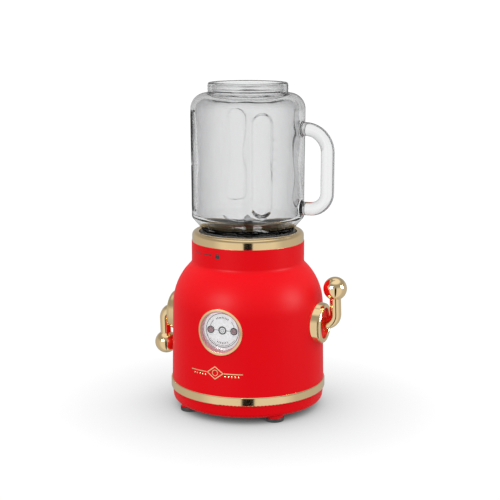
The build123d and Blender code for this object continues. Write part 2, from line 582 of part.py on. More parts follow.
def thread_bead(z):
    return turned([(MOUTH_R - 0.5, z - 0.9), (MOUTH_R + 0.2, z - 0.6), (MOUTH_R + 0.2, z + 0.6),
                   (MOUTH_R - 0.5, z + 0.9)])


def glass_jar():
    jar = jar_outside() + handle()
    jar = fillet(jar.edges().filter_by(lambda e: is_handle_root(e)), 3.0)
    jar -= around(PANEL_ANGLES, panel_cutter())
    jar += [thread_bead(z) for z in (285.4, 288.0)]
    tick = [block((JAR_R - 0.5, -1.8, z - 0.4), (JAR_R + 0.35, 1.8, z + 0.4)) for z in TICK_HEIGHTS]
    jar += [Rot(0, 0, TICK_ANGLE) * mark for mark in tick]
    return jar - jar_inside()


def is_handle_root(edge):
    """The closed seams where the handle meets the wall."""
    box = edge.bounding_box()
    near_wall = box.min.X > JAR_R - 4 and box.max.X < JAR_BAND_R + 1
    handle_wide = box.size.Y > HANDLE_R and box.size.Y < 2 * HANDLE_R + 2
    return near_wall and handle_wide


# ---------------------------------------------------------------- levers
def lever_ring(outer, place):
    """Flared ring seated on the shell's curved side, with a barrel through the wall."""
    flare = turned([(RING_BORE_R, RING_BACK_X), (RING_R, RING_BACK_X), (RING_FLARE_R, RING_FLARE_X, 2.0),
                    (RING_LIP_R, RING_FRONT_X, 2.4),
                    (RING_BORE_R, RING_FRONT_X, 1.1)])
    barrel = tube(RING_BARREL_R, RING_BORE_R, LEVER_NUT_LOW_X, RING_BACK_X + 4)
    return (place(to_right(flare)) - outer) + place(to_right(barrel))


def lever_disc():
    face = tube(RING_BORE_R - SLACK, LEVER_SPINDLE_R + RUNNING, DISC_FRONT_X - DISC_T, DISC_FRONT_X)
    hub = tube(DISC_HUB_R, LEVER_SPINDLE_R + RUNNING, DISC_HUB_X, DISC_FRONT_X - OVERLAP)
    return to_right(face + hub)


def lever_nut():
    nut = tube(LEVER_NUT_R, RING_BARREL_R, LEVER_NUT_LOW_X, LEVER_NUT_TOP_X)
    return to_right(nut - [Rot(0, 0, a) * block((18.6, -2, 58), (21, 2, 63)) for a in evenly(6)])


def lever_switch():
    plan = RectangleRounded(LEVER_SWITCH_W, LEVER_SWITCH_H, 2)
    body = Pos(0, 0, LEVER_SWITCH_X) * extrude(plan, LEVER_SWITCH_T)
    body -= rod(LEVER_SPINDLE_R + RUNNING, 52.0, 60.0)
    return to_right(body)


def lever_arm():
    start_x = DISC_FRONT_X + GAP + 0.1
    end_z = LEVER_Z + LEVER_THROW - 7.0
    slant = (LEVER_BALL_X - LEVER_STEM_X) / LEVER_THROW
    end_x = LEVER_STEM_X + slant * (end_z - LEVER_Z)
    route = FilletPolyline((start_x, 0, LEVER_Z), (LEVER_STEM_X, 0, LEVER_Z), (end_x, 0, end_z),
                           radius=[LEVER_BEND_R])
    section = Plane(origin=(start_x, 0, LEVER_Z), z_dir=(1, 0, 0)) * Circle(LEVER_ARM_R)
    arm = sweep(section, path=route)
    return arm - to_right(rod(LEVER_SPINDLE_R, start_x - 1, start_x + 3))


def lever_ball(arm):
    return Pos(LEVER_BALL_X, 0, LEVER_Z + LEVER_THROW) * Sphere(LEVER_BALL_R) - arm


def lever_spindle():
    return to_right(rod(LEVER_SPINDLE_R, 53.0, DISC_FRONT_X + GAP + 3.1))


# ---------------------------------------------------------------- gauge
def gauge_bezel(outer):
    rim = to_front(tube(GAUGE_R, GAUGE_HOUSING_R, *THROUGH_WALL))
    return (rim & shell_form(0, BEZEL_PROUD)) - outer


def gauge_housing(outer):
    barrel = to_front(tube(GAUGE_HOUSING_R, GAUGE_BORE_R, DIAL_Y - 1.5, 75)) & shell_form(0, 0.5)
    back = tube(GAUGE_HOUSING_R, 16.0, GAUGE_BACK_Y, DIAL_Y - 1) + rod(16.5, GAUGE_BACK_Y, BOARD_LOW_Y)
    return barrel + to_front(back)


def gauge_nut():
    nut = tube(GAUGE_NUT_R, GAUGE_HOUSING_R, GAUGE_NUT_LOW_Y, GAUGE_NUT_TOP_Y)
    return to_front(nut - [Rot(0, 0, a) * block((21, -2, 56), (24, 2, 62)) for a in evenly(6)])


def gauge_dial():
    plate = rod(GAUGE_BORE_R - SLACK, DIAL_Y - 1, DIAL_Y)
    return to_front(plate - [Pos(x, 0, 0) * rod(LAMP_R, 55, 65) for x in (-LAMP_PITCH, LAMP_PITCH)])


def gauge_lens():
    return to_front(rod(GAUGE_BORE_R - SLACK, DIAL_Y + LENS_LIFT, DIAL_Y + LENS_LIFT + LENS_T))


def lamp(side):
    body = turned([(0, BOARD_TOP_Y), (LAMP_R, BOARD_TOP_Y), (LAMP_R, DIAL_Y + LAMP_PROUD, LAMP_ROUND),
                   (0, DIAL_Y + LAMP_PROUD)])
    return to_front(Pos(side * LAMP_PITCH, 0, 0) * body)


def lamp_board():
    board = rod(BOARD_R, BOARD_LOW_Y, BOARD_TOP_Y)
    return to_front(board - [Pos(0, y, 0) * rod(1.2, 58, 60) for y in (-12, 12)])


# ---------------------------------------------------------------- motor
def stator_core():
    ring = tube(STATOR_R, YOKE_BORE_R, CORE_LOW_Z, CORE_TOP_Z)
    pole = block((20.0, -POLE_HALF, CORE_LOW_Z), (28.6, POLE_HALF, CORE_TOP_Z))
    shoe = sector(STATOR_BORE_R, SHOE_R, CORE_LOW_Z, CORE_TOP_Z, 0, SHOE_DEG)
    ring += around((90, 270), pole + shoe)
    ear = block((STATOR_R - OVERLAP, -EAR_HALF, CORE_LOW_Z), (TIE_R + EAR_PROUD, EAR_HALF, CORE_TOP_Z))
    ring += around(TIE_ANGLES, ear)
    tie_hole = rod(TIE_HOLE_R, CORE_LOW_Z - OVERLAP, CORE_TOP_Z + OVERLAP)
    return ring - around(TIE_ANGLES, out_to(TIE_R, tie_hole))


def field_coil(side):
    outer = block((-COIL_HALF, SHOE_R + GAP, COIL_LOW_Z), (COIL_HALF, YOKE_BORE_R - GAP, COIL_TOP_Z))
    inside = POLE_HALF + SLACK
    coil = outer - block((-inside, 20, CORE_LOW_Z - 0.2), (inside, 30, CORE_TOP_Z + 0.2))
    coil = coil & tube(27.8, 21.2, 40, 92)
    return Rot(0, 0, 0 if side > 0 else 180) * coil


def rotor_slots():
    slot = block((SLOT_FOOT_R, -SLOT_HALF, CORE_LOW_Z), (SLOT_TOP_R, SLOT_HALF, CORE_TOP_Z))
    return around(evenly(SLOT_COUNT), slot)


def rotor_core():
    core = tube(ROTOR_R, SHAFT_R, CORE_LOW_Z, CORE_TOP_Z) - rotor_slots()
    return core - around(evenly(SLOT_COUNT), block((16.5, -0.8, CORE_LOW_Z), (18, 0.8, CORE_TOP_Z)))


def rotor_windings():
    lower = turned([(WINDING_BORE_R, WINDING_LOW_Z), (WINDING_END_R, WINDING_LOW_Z, 2.5),
                    (SLOT_TOP_R, CORE_LOW_Z), (WINDING_BORE_R, CORE_LOW_Z)])
    upper = turned([(WINDING_BORE_R, CORE_TOP_Z), (SLOT_TOP_R, CORE_TOP_Z),
                    (WINDING_END_R, WINDING_TOP_Z, 2.5), (WINDING_BORE_R, WINDING_TOP_Z)])
    return lower + upper + rotor_slots()


def commutator():
    drum = tube(COMMUTATOR_R, SHAFT_R, COMMUTATOR_LOW_Z, COMMUTATOR_TOP_Z)
    return drum - around(evenly(BAR_COUNT), block((8.6, -0.3, 30), (11, 0.3, COMMUTATOR_TOP_Z - 1)))


def cooling_fan():
    hub = tube(7.0, SHAFT_R, FAN_LOW_Z, FAN_HUB_TOP_Z) + tube(FAN_R, 6.5, 17.4, 18.6)
    vane = Pos(18.0, 0, 0) * Rot(0, 0, VANE_LEAN_DEG) * block((-11.5, -0.6, 12.0), (10.5, 0.6, 18.0))
    return hub + around(evenly(VANE_COUNT), vane & rod(FAN_R, FAN_LOW_Z - 0.5, FAN_HUB_TOP_Z))


def bracket(plate_z, posts_z, bearing_z):
    """Motor end bracket: bearing boss, cross arms and posts down to (or up to) the core."""
    arms = tube(BOSS_R, BEARING_SEAT_R, *plate_z)
    arm = block((9, -PLATE_ARM_HALF, plate_z[0]), (TIE_R + PLATE_ARM_HALF, PLATE_ARM_HALF, plate_z[1]))
    arms += around(TIE_ANGLES, arm)
    arms += around(TIE_ANGLES, out_to(TIE_R, rod(PLATE_POST_R, *posts_z)))
    arms += tube(BOSS_R, BEARING_R, *bearing_z)
    return arms - around(TIE_ANGLES, out_to(TIE_R, rod(TIE_HOLE_R, posts_z[0] - 9, posts_z[1] + 9)))


def upper_bracket():
    low_z, top_z = UPPER_PLATE_Z
    frame = bracket(UPPER_PLATE_Z, (CORE_TOP_Z, top_z), UPPER_BEARING_Z)
    pad = out_to(DAMPER_R, rod(PAD_R, low_z, top_z))
    spoke = block((9, -SPOKE_HALF, low_z), (DAMPER_R, SPOKE_HALF, top_z))
    frame += around(DAMPER_ANGLES, pad + spoke)
    return frame - around(DAMPER_ANGLES, out_to(DAMPER_R, rod(PAD_HOLE_R, low_z - 2, top_z + 2)))


def lower_bracket():
    return bracket(LOWER_PLATE_Z, (LOWER_PLATE_Z[0], CORE_LOW_Z), LOWER_BEARING_Z)


def motor_bearings():
    return [tube(BEARING_R, SHAFT_R + RUNNING, *span) for span in (LOWER_BEARING_Z, UPPER_BEARING_Z)]


def motor_shaft():
    return turned([(0, SHAFT_LOW_Z), (SHAFT_R, SHAFT_LOW_Z, 0.5), (SHAFT_R, SHAFT_TOP_Z, 0.5),
                   (0, SHAFT_TOP_Z)])


def motor_bolt():
    bolt = rod(BOLT_HEAD_R, BOLT_LOW_Z, LOWER_PLATE_Z[0]) + rod(BOLT_R, LOWER_PLATE_Z[0] - 1, BOLT_TOP_Z)
    nut = Pos(0, 0, UPPER_PLATE_Z[1]) * extrude(RegularPolygon(3.6, 6), BOLT_NUT_T)
    return out_to(TIE_R, bolt + nut)


def motor_damper():
    """Rubber grommet with a waist that holds the bracket's plate."""
    low_z, top_z = UPPER_PLATE_Z
    waist_r = PAD_HOLE_R - SLACK
    spool = turned([(SCREW_R, low_z - 1.6), (6.0, low_z - 1.6, 0.5), (6.0, low_z), (waist_r, low_z),
                    (waist_r, top_z), (6.5, top_z), (6.5, SEAT_POST_LOW_Z, EDGE), (SCREW_R, SEAT_POST_LOW_Z)])
    return out_to(DAMPER_R, spool)


def brush_parts():
    """Brush holder, brush and spring on the +X side."""
    holder = block((11.0, -5.0, 30.6), (33.0, 5.0, 41.0))
    holder -= block((10, -BRUSH_HALF, BRUSH_LOW_Z), (31.5, BRUSH_HALF, BRUSH_TOP_Z))
    half = BRUSH_HALF - BRUSH_GAP
    brush = block((COMMUTATOR_R + BRUSH_GAP, -half, BRUSH_LOW_Z + BRUSH_GAP),
                  (22.0, half, BRUSH_TOP_Z - BRUSH_GAP))
    coil = Helix(pitch=SPRING_PITCH, height=SPRING_LENGTH, radius=SPRING_R)
    wire = Plane(origin=coil @ 0, z_dir=coil % 0) * Circle(SPRING_WIRE_R)
    middle_z = (BRUSH_LOW_Z + BRUSH_TOP_Z) / 2
    spring = Pos(22.4, 0, middle_z) * Rot(0, 90, 0) * sweep(wire, path=coil, is_frenet=True)
    return holder, brush, spring


# ---------------------------------------------------------------- write every piece
def main():
    os.makedirs("parts", exist_ok=True)
    outer = shell_form(0)
    save("base_shell", base_shell(outer))
    save("top_trim_ring", top_trim_ring())
    save("bottom_trim_band", bottom_trim_band())
    save("lower_shell", lower_shell())
    save("feet", around(FOOT_ANGLES, foot()))
    cover_screw = screw(COVER_HEAD_Z, SCREW_SINK_Z, COVER_TIP_Z)
    save("cover_screws", around(POST_ANGLES, out_to(POST_PITCH_R, cover_screw)))
    seat_screw = screw(SEAT_HEAD_Z, SEAT_FLANGE_LOW_Z, SEAT_TIP_Z)
    save("seat_screws", around(FOOT_ANGLES, out_to(SEAT_SCREW_R, seat_screw)))
    save("cord_gland", cord_gland(outer))

    save("jar_seat", jar_seat())
    save("interlock_ring", interlock_ring())
    save("jar_switch", jar_switch())
    save("switch_plunger", switch_plunger())

    save("blade_base", blade_base())
    save("spindle_bushings", spindle_bushings())
    save("spindle_seal", spindle_seal())
    save("blade_spindle", blade_spindle())
    save("spindle_clip", spindle_clip())
    save("lower_blade", lower_blade())
    save("upper_blade", upper_blade())
    save("blade_nut", blade_nut())
    save("driven_coupling", driven_coupling())
    save("drive_coupling", drive_coupling())
    save("jar_gasket", jar_gasket())
    save("glass_jar", glass_jar())

    arm = lever_arm()
    pieces = {"lever_disc": lever_disc(), "lever_arm": arm, "lever_ball": lever_ball(arm),
              "lever_spindle": lever_spindle()}
    for side, place in (("right", unmoved), ("left", half_turn)):
        save(f"lever_ring_{side}", lever_ring(outer, place))
        for name, piece in pieces.items():
            save(f"{name}_{side}", place(piece))
    save("lever_nuts", [lever_nut(), half_turn(lever_nut())])
    save("lever_switches", [lever_switch(), half_turn(lever_switch())])

    save("gauge_bezel", gauge_bezel(outer))
    save("gauge_housing", gauge_housing(outer))
    save("gauge_nut", gauge_nut())
    save("gauge_dial", gauge_dial())
    save("gauge_lens", gauge_lens())
    save("lamp_left", lamp(-1))
    save("lamp_right", lamp(1))
    save("lamp_board", lamp_board())

    save("stator_core", stator_core())
    save("field_coils", [field_coil(1), field_coil(-1)])
    save("rotor_core", rotor_core())
    save("rotor_windings", rotor_windings())
    save("commutator", commutator())
    save("cooling_fan", cooling_fan())
    save("upper_bracket", upper_bracket())
    save("lower_bracket", lower_bracket())
    save("motor_bearings", motor_bearings())
    save("motor_shaft", motor_shaft())
    save("motor_bolts", around(TIE_ANGLES, motor_bolt()))
    save("motor_dampers", around(DAMPER_ANGLES, motor_damper()))
    damper_screw = screw(DAMPER_HEAD_Z, UPPER_PLATE_Z[0] - 1.6, DAMPER_TIP_Z)
    save("damper_screws", around(DAMPER_ANGLES, out_to(DAMPER_R, damper_screw)))
    for name, piece in zip(("brush_holders", "brushes", "brush_springs"), brush_parts()):
        save(name, around((0, 180), piece))


main()
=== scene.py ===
import math

import bmesh
import bpy
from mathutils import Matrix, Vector, noise
from mathutils.bvhtree import BVHTree


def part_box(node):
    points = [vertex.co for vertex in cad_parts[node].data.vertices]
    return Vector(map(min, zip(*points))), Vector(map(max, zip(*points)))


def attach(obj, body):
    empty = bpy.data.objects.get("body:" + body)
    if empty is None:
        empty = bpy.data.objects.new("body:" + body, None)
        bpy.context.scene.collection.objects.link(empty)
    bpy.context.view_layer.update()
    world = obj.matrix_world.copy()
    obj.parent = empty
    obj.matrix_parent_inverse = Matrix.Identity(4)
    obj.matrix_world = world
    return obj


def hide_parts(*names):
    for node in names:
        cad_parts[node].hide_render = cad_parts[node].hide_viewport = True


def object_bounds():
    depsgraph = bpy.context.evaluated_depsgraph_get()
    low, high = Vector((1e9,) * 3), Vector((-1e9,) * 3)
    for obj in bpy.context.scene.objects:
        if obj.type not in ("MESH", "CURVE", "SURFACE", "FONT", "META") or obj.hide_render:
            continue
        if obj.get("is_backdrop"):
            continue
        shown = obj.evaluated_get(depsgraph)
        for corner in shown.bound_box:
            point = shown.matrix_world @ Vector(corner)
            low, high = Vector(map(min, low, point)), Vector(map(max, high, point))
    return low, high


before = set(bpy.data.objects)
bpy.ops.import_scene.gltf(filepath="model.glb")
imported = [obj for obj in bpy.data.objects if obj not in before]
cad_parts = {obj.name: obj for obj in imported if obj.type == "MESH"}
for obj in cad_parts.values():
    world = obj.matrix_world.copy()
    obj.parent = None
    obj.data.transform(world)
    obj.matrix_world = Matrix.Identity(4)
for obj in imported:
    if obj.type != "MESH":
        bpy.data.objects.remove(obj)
cad_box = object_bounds()

MM = 0.001
TURN = 2 * math.pi
MERGE = 1e-6                   # points closer than this are one point

# ---------------------------------------------------------------- camera and studio
CAMERA_AZIMUTH = math.radians(21.0)
CAMERA_DISTANCE = 1.046
CAMERA_HEIGHT = 0.348
CAMERA_TILT = math.radians(11.16)
CAMERA_SIDE = 0.0018
CAMERA_LENS, CAMERA_SENSOR = 85.5, 36.0
SOFTBOX_DISTANCE = 1.3
SOFTBOX_SIZE = (0.50, 0.42)
# name, turn from the camera, rise (degrees) and watts
# they make highlights, and the studio's walls light the paint
SOFTBOXES = (("left softbox", -40, 17, 20.0), ("right softbox", 72, 14, 18.0))
FLOOR_REACH = 8.0
WHITE = 1.04
# reach and depth of the floor's painted contact shadow
SHADOW_REACH = 0.135
SHADOW_DEPTH = 0.9
GROUND_LIGHT, SKY_LIGHT = 0.36, 1.50
# share of the way round from the camera (0) to behind the object (1), and how bright the studio is there
MIRRORED_WALLS = ((0.0, 0.012), (0.045, 0.012), (0.058, 0.84), (0.30, 0.86), (0.42, 0.62), (0.75, 0.55),
                  (1.0, 0.40))
MIRRORED_CEILING, MIRRORED_SHADE = 1.0, 0.40
GLASS_WALLS = ((0.0, 0.97), (0.34, 0.92), (0.44, 0.58), (0.62, 0.55), (0.80, 0.88), (0.94, 0.95),
               (1.0, 1.0))
GLASS_CEILING = 0.85
# how far up (-1 to 1) each light gives way to the next
SKY_BLEND, SHADE_BLEND, CEILING_BLEND, GLASS_BLEND = (-0.35, 0.35), (0.12, 0.42), (0.72, 0.86), (0.5, 0.9)

camera_side = Vector((math.cos(CAMERA_AZIMUTH), math.sin(CAMERA_AZIMUTH), 0))
camera_front = Vector((math.sin(CAMERA_AZIMUTH), -math.cos(CAMERA_AZIMUTH), 0))


# ---------------------------------------------------------------- node helpers
def node(tree, kind, inputs=None, **settings):
    """A node with its settings made and its inputs filled or linked."""
    made = tree.nodes.new(kind)
    for name, value in settings.items():
        setattr(made, name, value)
    for key, value in (inputs or {}).items():
        if isinstance(value, bpy.types.NodeSocket):
            tree.links.new(value, made.inputs[key])
        else:
            made.inputs[key].default_value = value
    return made


def maths(tree, operation, *values):
    return node(tree, "ShaderNodeMath", dict(enumerate(values)), operation=operation).outputs[0]


def spread(tree, value, low, high, from_low=0.0, from_high=1.0):
    """value from one range stretched onto another."""
    ranges = {"Value": value, "From Min": from_low, "From Max": from_high, "To Min": low, "To Max": high}
    return node(tree, "ShaderNodeMapRange", ranges).outputs[0]


def two_tone(tree, share, first, second):
    mix = node(tree, "ShaderNodeMix", {"Factor": share}, data_type="RGBA")
    mix.inputs[6].default_value = (*first, 1)
    mix.inputs[7].default_value = (*second, 1)
    return mix.outputs[2]


def object_point(tree, stretch=(1, 1, 1), centre=(0, 0, 0)):
    place = node(tree, "ShaderNodeTexCoord").outputs["Object"]
    moved = node(tree, "ShaderNodeMapping", {"Vector": place, "Location": centre, "Scale": stretch})
    return moved.outputs[0]


def cloud(tree, scale, detail=2.0, stretch=(1, 1, 1)):
    inputs = {"Vector": object_point(tree, stretch), "Scale": scale, "Detail": detail}
    return node(tree, "ShaderNodeTexNoise", inputs).outputs[0]


def finish(name, colour, roughness, metallic=0.0, **fixed):
    """A Principled material. fixed holds the sockets that are the same all over."""
    material = bpy.data.materials.new(name)
    material.use_nodes = True
    tree = material.node_tree
    shader = tree.nodes["Principled BSDF"]
    shader.inputs["Base Color"].default_value = (*colour, 1)
    shader.inputs["Roughness"].default_value = roughness
    shader.inputs["Metallic"].default_value = metallic
    for socket, value in fixed.items():
        shader.inputs[socket.replace("_", " ")].default_value = value
    return material, tree, shader


def use(tree, shader, **sockets):
    for socket, value in sockets.items():
        tree.links.new(value, shader.inputs[socket.replace("_", " ")])


def relief(tree, shader, height, depth, strength=1.0):
    """Bump of a real depth in metres."""
    bump = node(tree, "ShaderNodeBump", {"Height": height, "Distance": depth, "Strength": strength})
    tree.links.new(bump.outputs[0], shader.inputs["Normal"])


# ---------------------------------------------------------------- finishes
def satin_red():
    """Sprayed red lacquer: saturated, with a faint orange-peel skin."""
    material, tree, shader = finish("satin red lacquer", (0.78, 0.001, 0.008), 0.42,
                                    Specular_IOR_Level=0.075)
    patches = cloud(tree, 26, 3)
    use(tree, shader,
        Base_Color=two_tone(tree, patches, (0.80, 0.0004, 0.0045), (0.75, 0.0007, 0.0060)),
        Roughness=spread(tree, cloud(tree, 90, 3), 0.39, 0.45))
    relief(tree, shader, cloud(tree, 850, 2), 0.00003, 0.35)
    return material


def red_wall_painted_dial_light():
    """The gauge's inner wall: glossy red, painted pale pink to stand in for the light that the white dial
    throws on it.
    """
    material, tree, shader = finish("red wall with painted dial light", (0.62, 0.26, 0.28), 0.2, Specular_IOR_Level=0.6)
    # painted light: these pink tones stand for the dial's light falling on a red wall
    use(tree, shader, Base_Color=two_tone(tree, cloud(tree, 120, 3), (0.66, 0.28, 0.30), (0.58, 0.22, 0.25)),
        Roughness=spread(tree, cloud(tree, 200, 2), 0.16, 0.26))
    relief(tree, shader, cloud(tree, 850, 2), 0.00002, 0.35)
    return material


def mirror_gold(name, colour, roughness):
    """Plated metal, nearly a mirror, with the faint unevenness of polished work."""
    material, tree, shader = finish(name, colour, roughness, 1.0)
    shade = tuple(0.94 * c for c in colour)
    use(tree, shader, Base_Color=two_tone(tree, cloud(tree, 60, 2), colour, shade),
        Roughness=spread(tree, cloud(tree, 140, 4), roughness * 0.75, roughness * 1.3))
    relief(tree, shader, cloud(tree, 45, 1), 0.00012, 0.25)
    return material


def jar_glass():
    """Thick pressed glass, faintly rippled, with painted shade: its colour greys where the wall is seen edge
    on.
    """
    material, tree, shader = finish("pressed jar glass", (0.84, 0.84, 0.84), 0.0,
                                    Transmission_Weight=1.0, IOR=1.5)
    # painted shade: the glass colour darkens towards grey where the wall is seen edge on
    facing = node(tree, "ShaderNodeLayerWeight", {"Blend": 0.5}).outputs["Facing"]
    painted_edge_shade = maths(tree, "POWER", facing, 1.35)
    use(tree, shader, Base_Color=two_tone(tree, painted_edge_shade, (0.84, 0.842, 0.845), (0.20, 0.20, 0.21)),
        Roughness=spread(tree, cloud(tree, 35, 2), 0.0, 0.012))
    relief(tree, shader, cloud(tree, 40, 2, (1, 1, 0.3)), 0.0012, 0.6)
    return material


def lens_acrylic():
    material, tree, shader = finish("gauge lens", (0.985, 0.985, 0.985), 0.0,
                                    Transmission_Weight=1.0, IOR=1.49)
    use(tree, shader, Roughness=spread(tree, cloud(tree, 60, 2), 0.0, 0.02))
    return material


def moulded(name, dark, light, rough, grain=1500, depth=0.00003, **fixed):
    """Injection-moulded plastic or rubber with a fine spark-eroded grain."""
    material, tree, shader = finish(name, dark, rough, **fixed)
    use(tree, shader, Base_Color=two_tone(tree, cloud(tree, 70, 3), dark, light),
        Roughness=spread(tree, cloud(tree, 160, 3), rough * 0.88, rough * 1.12))
    relief(tree, shader, cloud(tree, grain, 3), depth, 0.6)
    return material


def machined(name, dark, light, rough, stretch=(1, 1, 60), scale=90, depth=0.00002):
    """Metal with fine tool or rolling lines."""
    material, tree, shader = finish(name, light, rough, 1.0)
    lines = cloud(tree, scale, 4, stretch)
    use(tree, shader, Base_Color=two_tone(tree, lines, dark, light),
        Roughness=spread(tree, cloud(tree, 120, 3), rough * 0.8, rough * 1.25))
    relief(tree, shader, lines, depth, 0.5)
    return material


def ground_steel():
    """Blade steel, ground in fine arcs about the spindle."""
    material, tree, shader = finish("ground stainless steel", (0.6, 0.6, 0.59), 0.22, 1.0)
    rings = node(tree, "ShaderNodeTexWave", {"Vector": object_point(tree), "Scale": 420.0,
                                             "Distortion": 3.0, "Detail": 3.0},
                 wave_type="RINGS", rings_direction="Z").outputs[0]
    use(tree, shader, Base_Color=two_tone(tree, rings, (0.50, 0.50, 0.50), (0.66, 0.66, 0.65)),
        Roughness=spread(tree, cloud(tree, 200, 3), 0.16, 0.28))
    relief(tree, shader, rings, 0.00001, 0.4)
    return material


def laminated_steel():
    """Stacked iron sheets, half a millimetre each."""
    material, tree, shader = finish("laminated core steel", (0.23, 0.23, 0.24), 0.5, 0.9)
    sheets = node(tree, "ShaderNodeTexWave", {"Vector": object_point(tree), "Scale": 320.0},
                  wave_type="BANDS", bands_direction="Z").outputs[0]
    use(tree, shader, Base_Color=two_tone(tree, sheets, (0.10, 0.10, 0.11), (0.30, 0.30, 0.31)))
    relief(tree, shader, sheets, 0.00008, 0.8)
    return material


def wound_copper():
    """Enamelled wire laid side by side."""
    material, tree, shader = finish("enamelled copper wire", (0.45, 0.14, 0.05), 0.32, 0.85, Coat_Weight=0.4,
                                    Coat_Roughness=0.15)
    wires = node(tree, "ShaderNodeTexWave", {"Vector": object_point(tree), "Scale": 260.0, "Distortion": 0.6},
                 wave_type="BANDS", bands_direction="Z").outputs[0]
    use(tree, shader, Base_Color=two_tone(tree, wires, (0.25, 0.06, 0.02), (0.62, 0.22, 0.09)))
    relief(tree, shader, wires, 0.0002, 0.9)
    return material


def dial_card_with_painted_glow():
    """White enamelled dial plate, with a faint painted glow that lightens it in its shaded recess."""
    # painted light: the dial glows a little though it is no lamp
    material, tree, shader = finish("white dial plate with painted glow", (0.80, 0.80, 0.83), 0.45,
                                    Emission_Color=(1.0, 1.0, 1.0, 1.0), Emission_Strength=0.33)
    use(tree, shader, Base_Color=two_tone(tree, cloud(tree, 300, 3), (0.88, 0.88, 0.90), (0.82, 0.82, 0.85)),
        Roughness=spread(tree, cloud(tree, 200, 2), 0.38, 0.52))
    relief(tree, shader, cloud(tree, 1400, 3), 0.00002, 0.5)
    return material


def lamp_cap():
    """Pink translucent lamp cap, with a faintly patchy tone."""
    material, tree, shader = finish("pink lamp cap", (0.60, 0.30, 0.36), 0.3,
                                    Transmission_Weight=0.15, IOR=1.49)
    use(tree, shader, Base_Color=two_tone(tree, cloud(tree, 500, 2), (0.66, 0.36, 0.42), (0.50, 0.24, 0.30)),
        Roughness=spread(tree, cloud(tree, 300, 2), 0.24, 0.4))
    relief(tree, shader, cloud(tree, 900, 2), 0.00005, 0.4)
    return material


def circuit_board():
    material, tree, shader = finish("green circuit board", (0.02, 0.14, 0.05), 0.4, Coat_Weight=0.5,
                                    Coat_Roughness=0.2)
    tracks = node(tree, "ShaderNodeTexBrick", {"Vector": object_point(tree), "Scale": 240.0,
                                               "Mortar Size": 0.03}).outputs["Fac"]
    use(tree, shader, Base_Color=two_tone(tree, tracks, (0.015, 0.11, 0.04), (0.05, 0.26, 0.10)))
    relief(tree, shader, tracks, 0.00003, 0.5)
    return material


def make_finishes():
    """One finish for each material slot of the record."""
    return {
        "satin_red": satin_red(),
        "gold_trim": mirror_gold("gold trim", (0.88, 0.66, 0.36), 0.10),
        "gold_plate": mirror_gold("gold plating", (0.90, 0.68, 0.38), 0.06),
        "clear_glass": jar_glass(),
        "clear_lens": lens_acrylic(),
        "black_plastic": moulded("black plastic", (0.010, 0.010, 0.011), (0.020, 0.020, 0.021), 0.32),
        "coupling_black": moulded("glass-filled nylon", (0.014, 0.014, 0.014), (0.035, 0.035, 0.035),
                                  0.55),
        "black_rubber": moulded("black rubber", (0.012, 0.012, 0.012), (0.026, 0.026, 0.026), 0.62,
                                900, 0.00006),
        "silicone": moulded("clear silicone", (0.62, 0.62, 0.60), (0.72, 0.72, 0.70), 0.42,
                            Transmission_Weight=0.35, IOR=1.41),
        "stainless": ground_steel(),
        "steel": machined("turned steel", (0.38, 0.38, 0.39), (0.55, 0.55, 0.56), 0.28),
        "core_steel": laminated_steel(),
        "copper": wound_copper(),
        "bronze": machined("sintered bronze", (0.42, 0.25, 0.12), (0.58, 0.36, 0.18), 0.4,
                           (1, 1, 1), 700, 0.00005),
        "cast_aluminium": machined("cast aluminium", (0.55, 0.55, 0.56), (0.70, 0.70, 0.71), 0.45,
                                   (1, 1, 1), 420, 0.00008),
        "carbon": moulded("carbon", (0.02, 0.02, 0.022), (0.05, 0.05, 0.052), 0.5),
        "board_green": circuit_board(),
        "dial_white": dial_card_with_painted_glow(),
        "lamp_pink": lamp_cap(),
    }


def dress_nodes(finishes):
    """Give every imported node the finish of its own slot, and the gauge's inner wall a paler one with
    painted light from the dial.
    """
    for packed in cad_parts.values():
        slots = packed.data.materials
        for index, material in enumerate(slots):
            if material and material.name.split(".")[0] in finishes:
                slots[index] = finishes[material.name.split(".")[0]]
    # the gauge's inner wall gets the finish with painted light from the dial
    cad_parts["gauge_housing"].data.materials[0] = red_wall_painted_dial_light()


# ---------------------------------------------------------------- mesh helpers
def mesh_object(name, mesh, material, body, smooth_deg=None):
    """Link a finished mesh, already in place, as a piece that rides on a body."""
    made = bpy.data.objects.new(name, mesh)
    bpy.context.scene.collection.objects.link(made)
    mesh.materials.clear()
    mesh.materials.append(material)
    if smooth_deg is not None:
        mesh.shade_smooth()
        mesh.set_sharp_from_angle(angle=math.radians(smooth_deg))
    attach(made, body)
    return made


def mesh_from(name, points, faces):
    mesh = bpy.data.meshes.new(name)
    mesh.from_pydata([tuple(p) for p in points], [], faces)
    mesh.update()
    return mesh


def tidy_mesh(mesh):
    """Merge doubles and point every face outwards."""
    work = bmesh.new()
    work.from_mesh(mesh)
    bmesh.ops.remove_doubles(work, verts=work.verts, dist=MERGE)
    bmesh.ops.recalc_face_normals(work, faces=work.faces)
    work.to_mesh(mesh)
    work.free()
    return mesh


def evaluated_mesh(made):
    """The plain mesh that an object's modifiers give, with the object removed."""
    graph = bpy.context.evaluated_depsgraph_get()
    mesh = bpy.data.meshes.new_from_object(made.evaluated_get(graph), depsgraph=graph)
    bpy.data.objects.remove(made)
    return mesh


def loose_object(name, mesh):
    made = bpy.data.objects.new(name, mesh)
    bpy.context.scene.collection.objects.link(made)
    return made


def join_meshes(name, meshes):
    work = bmesh.new()
    for mesh in meshes:
        work.from_mesh(mesh)
    joined = bpy.data.meshes.new(name)
    work.to_mesh(joined)
    work.free()
    return joined


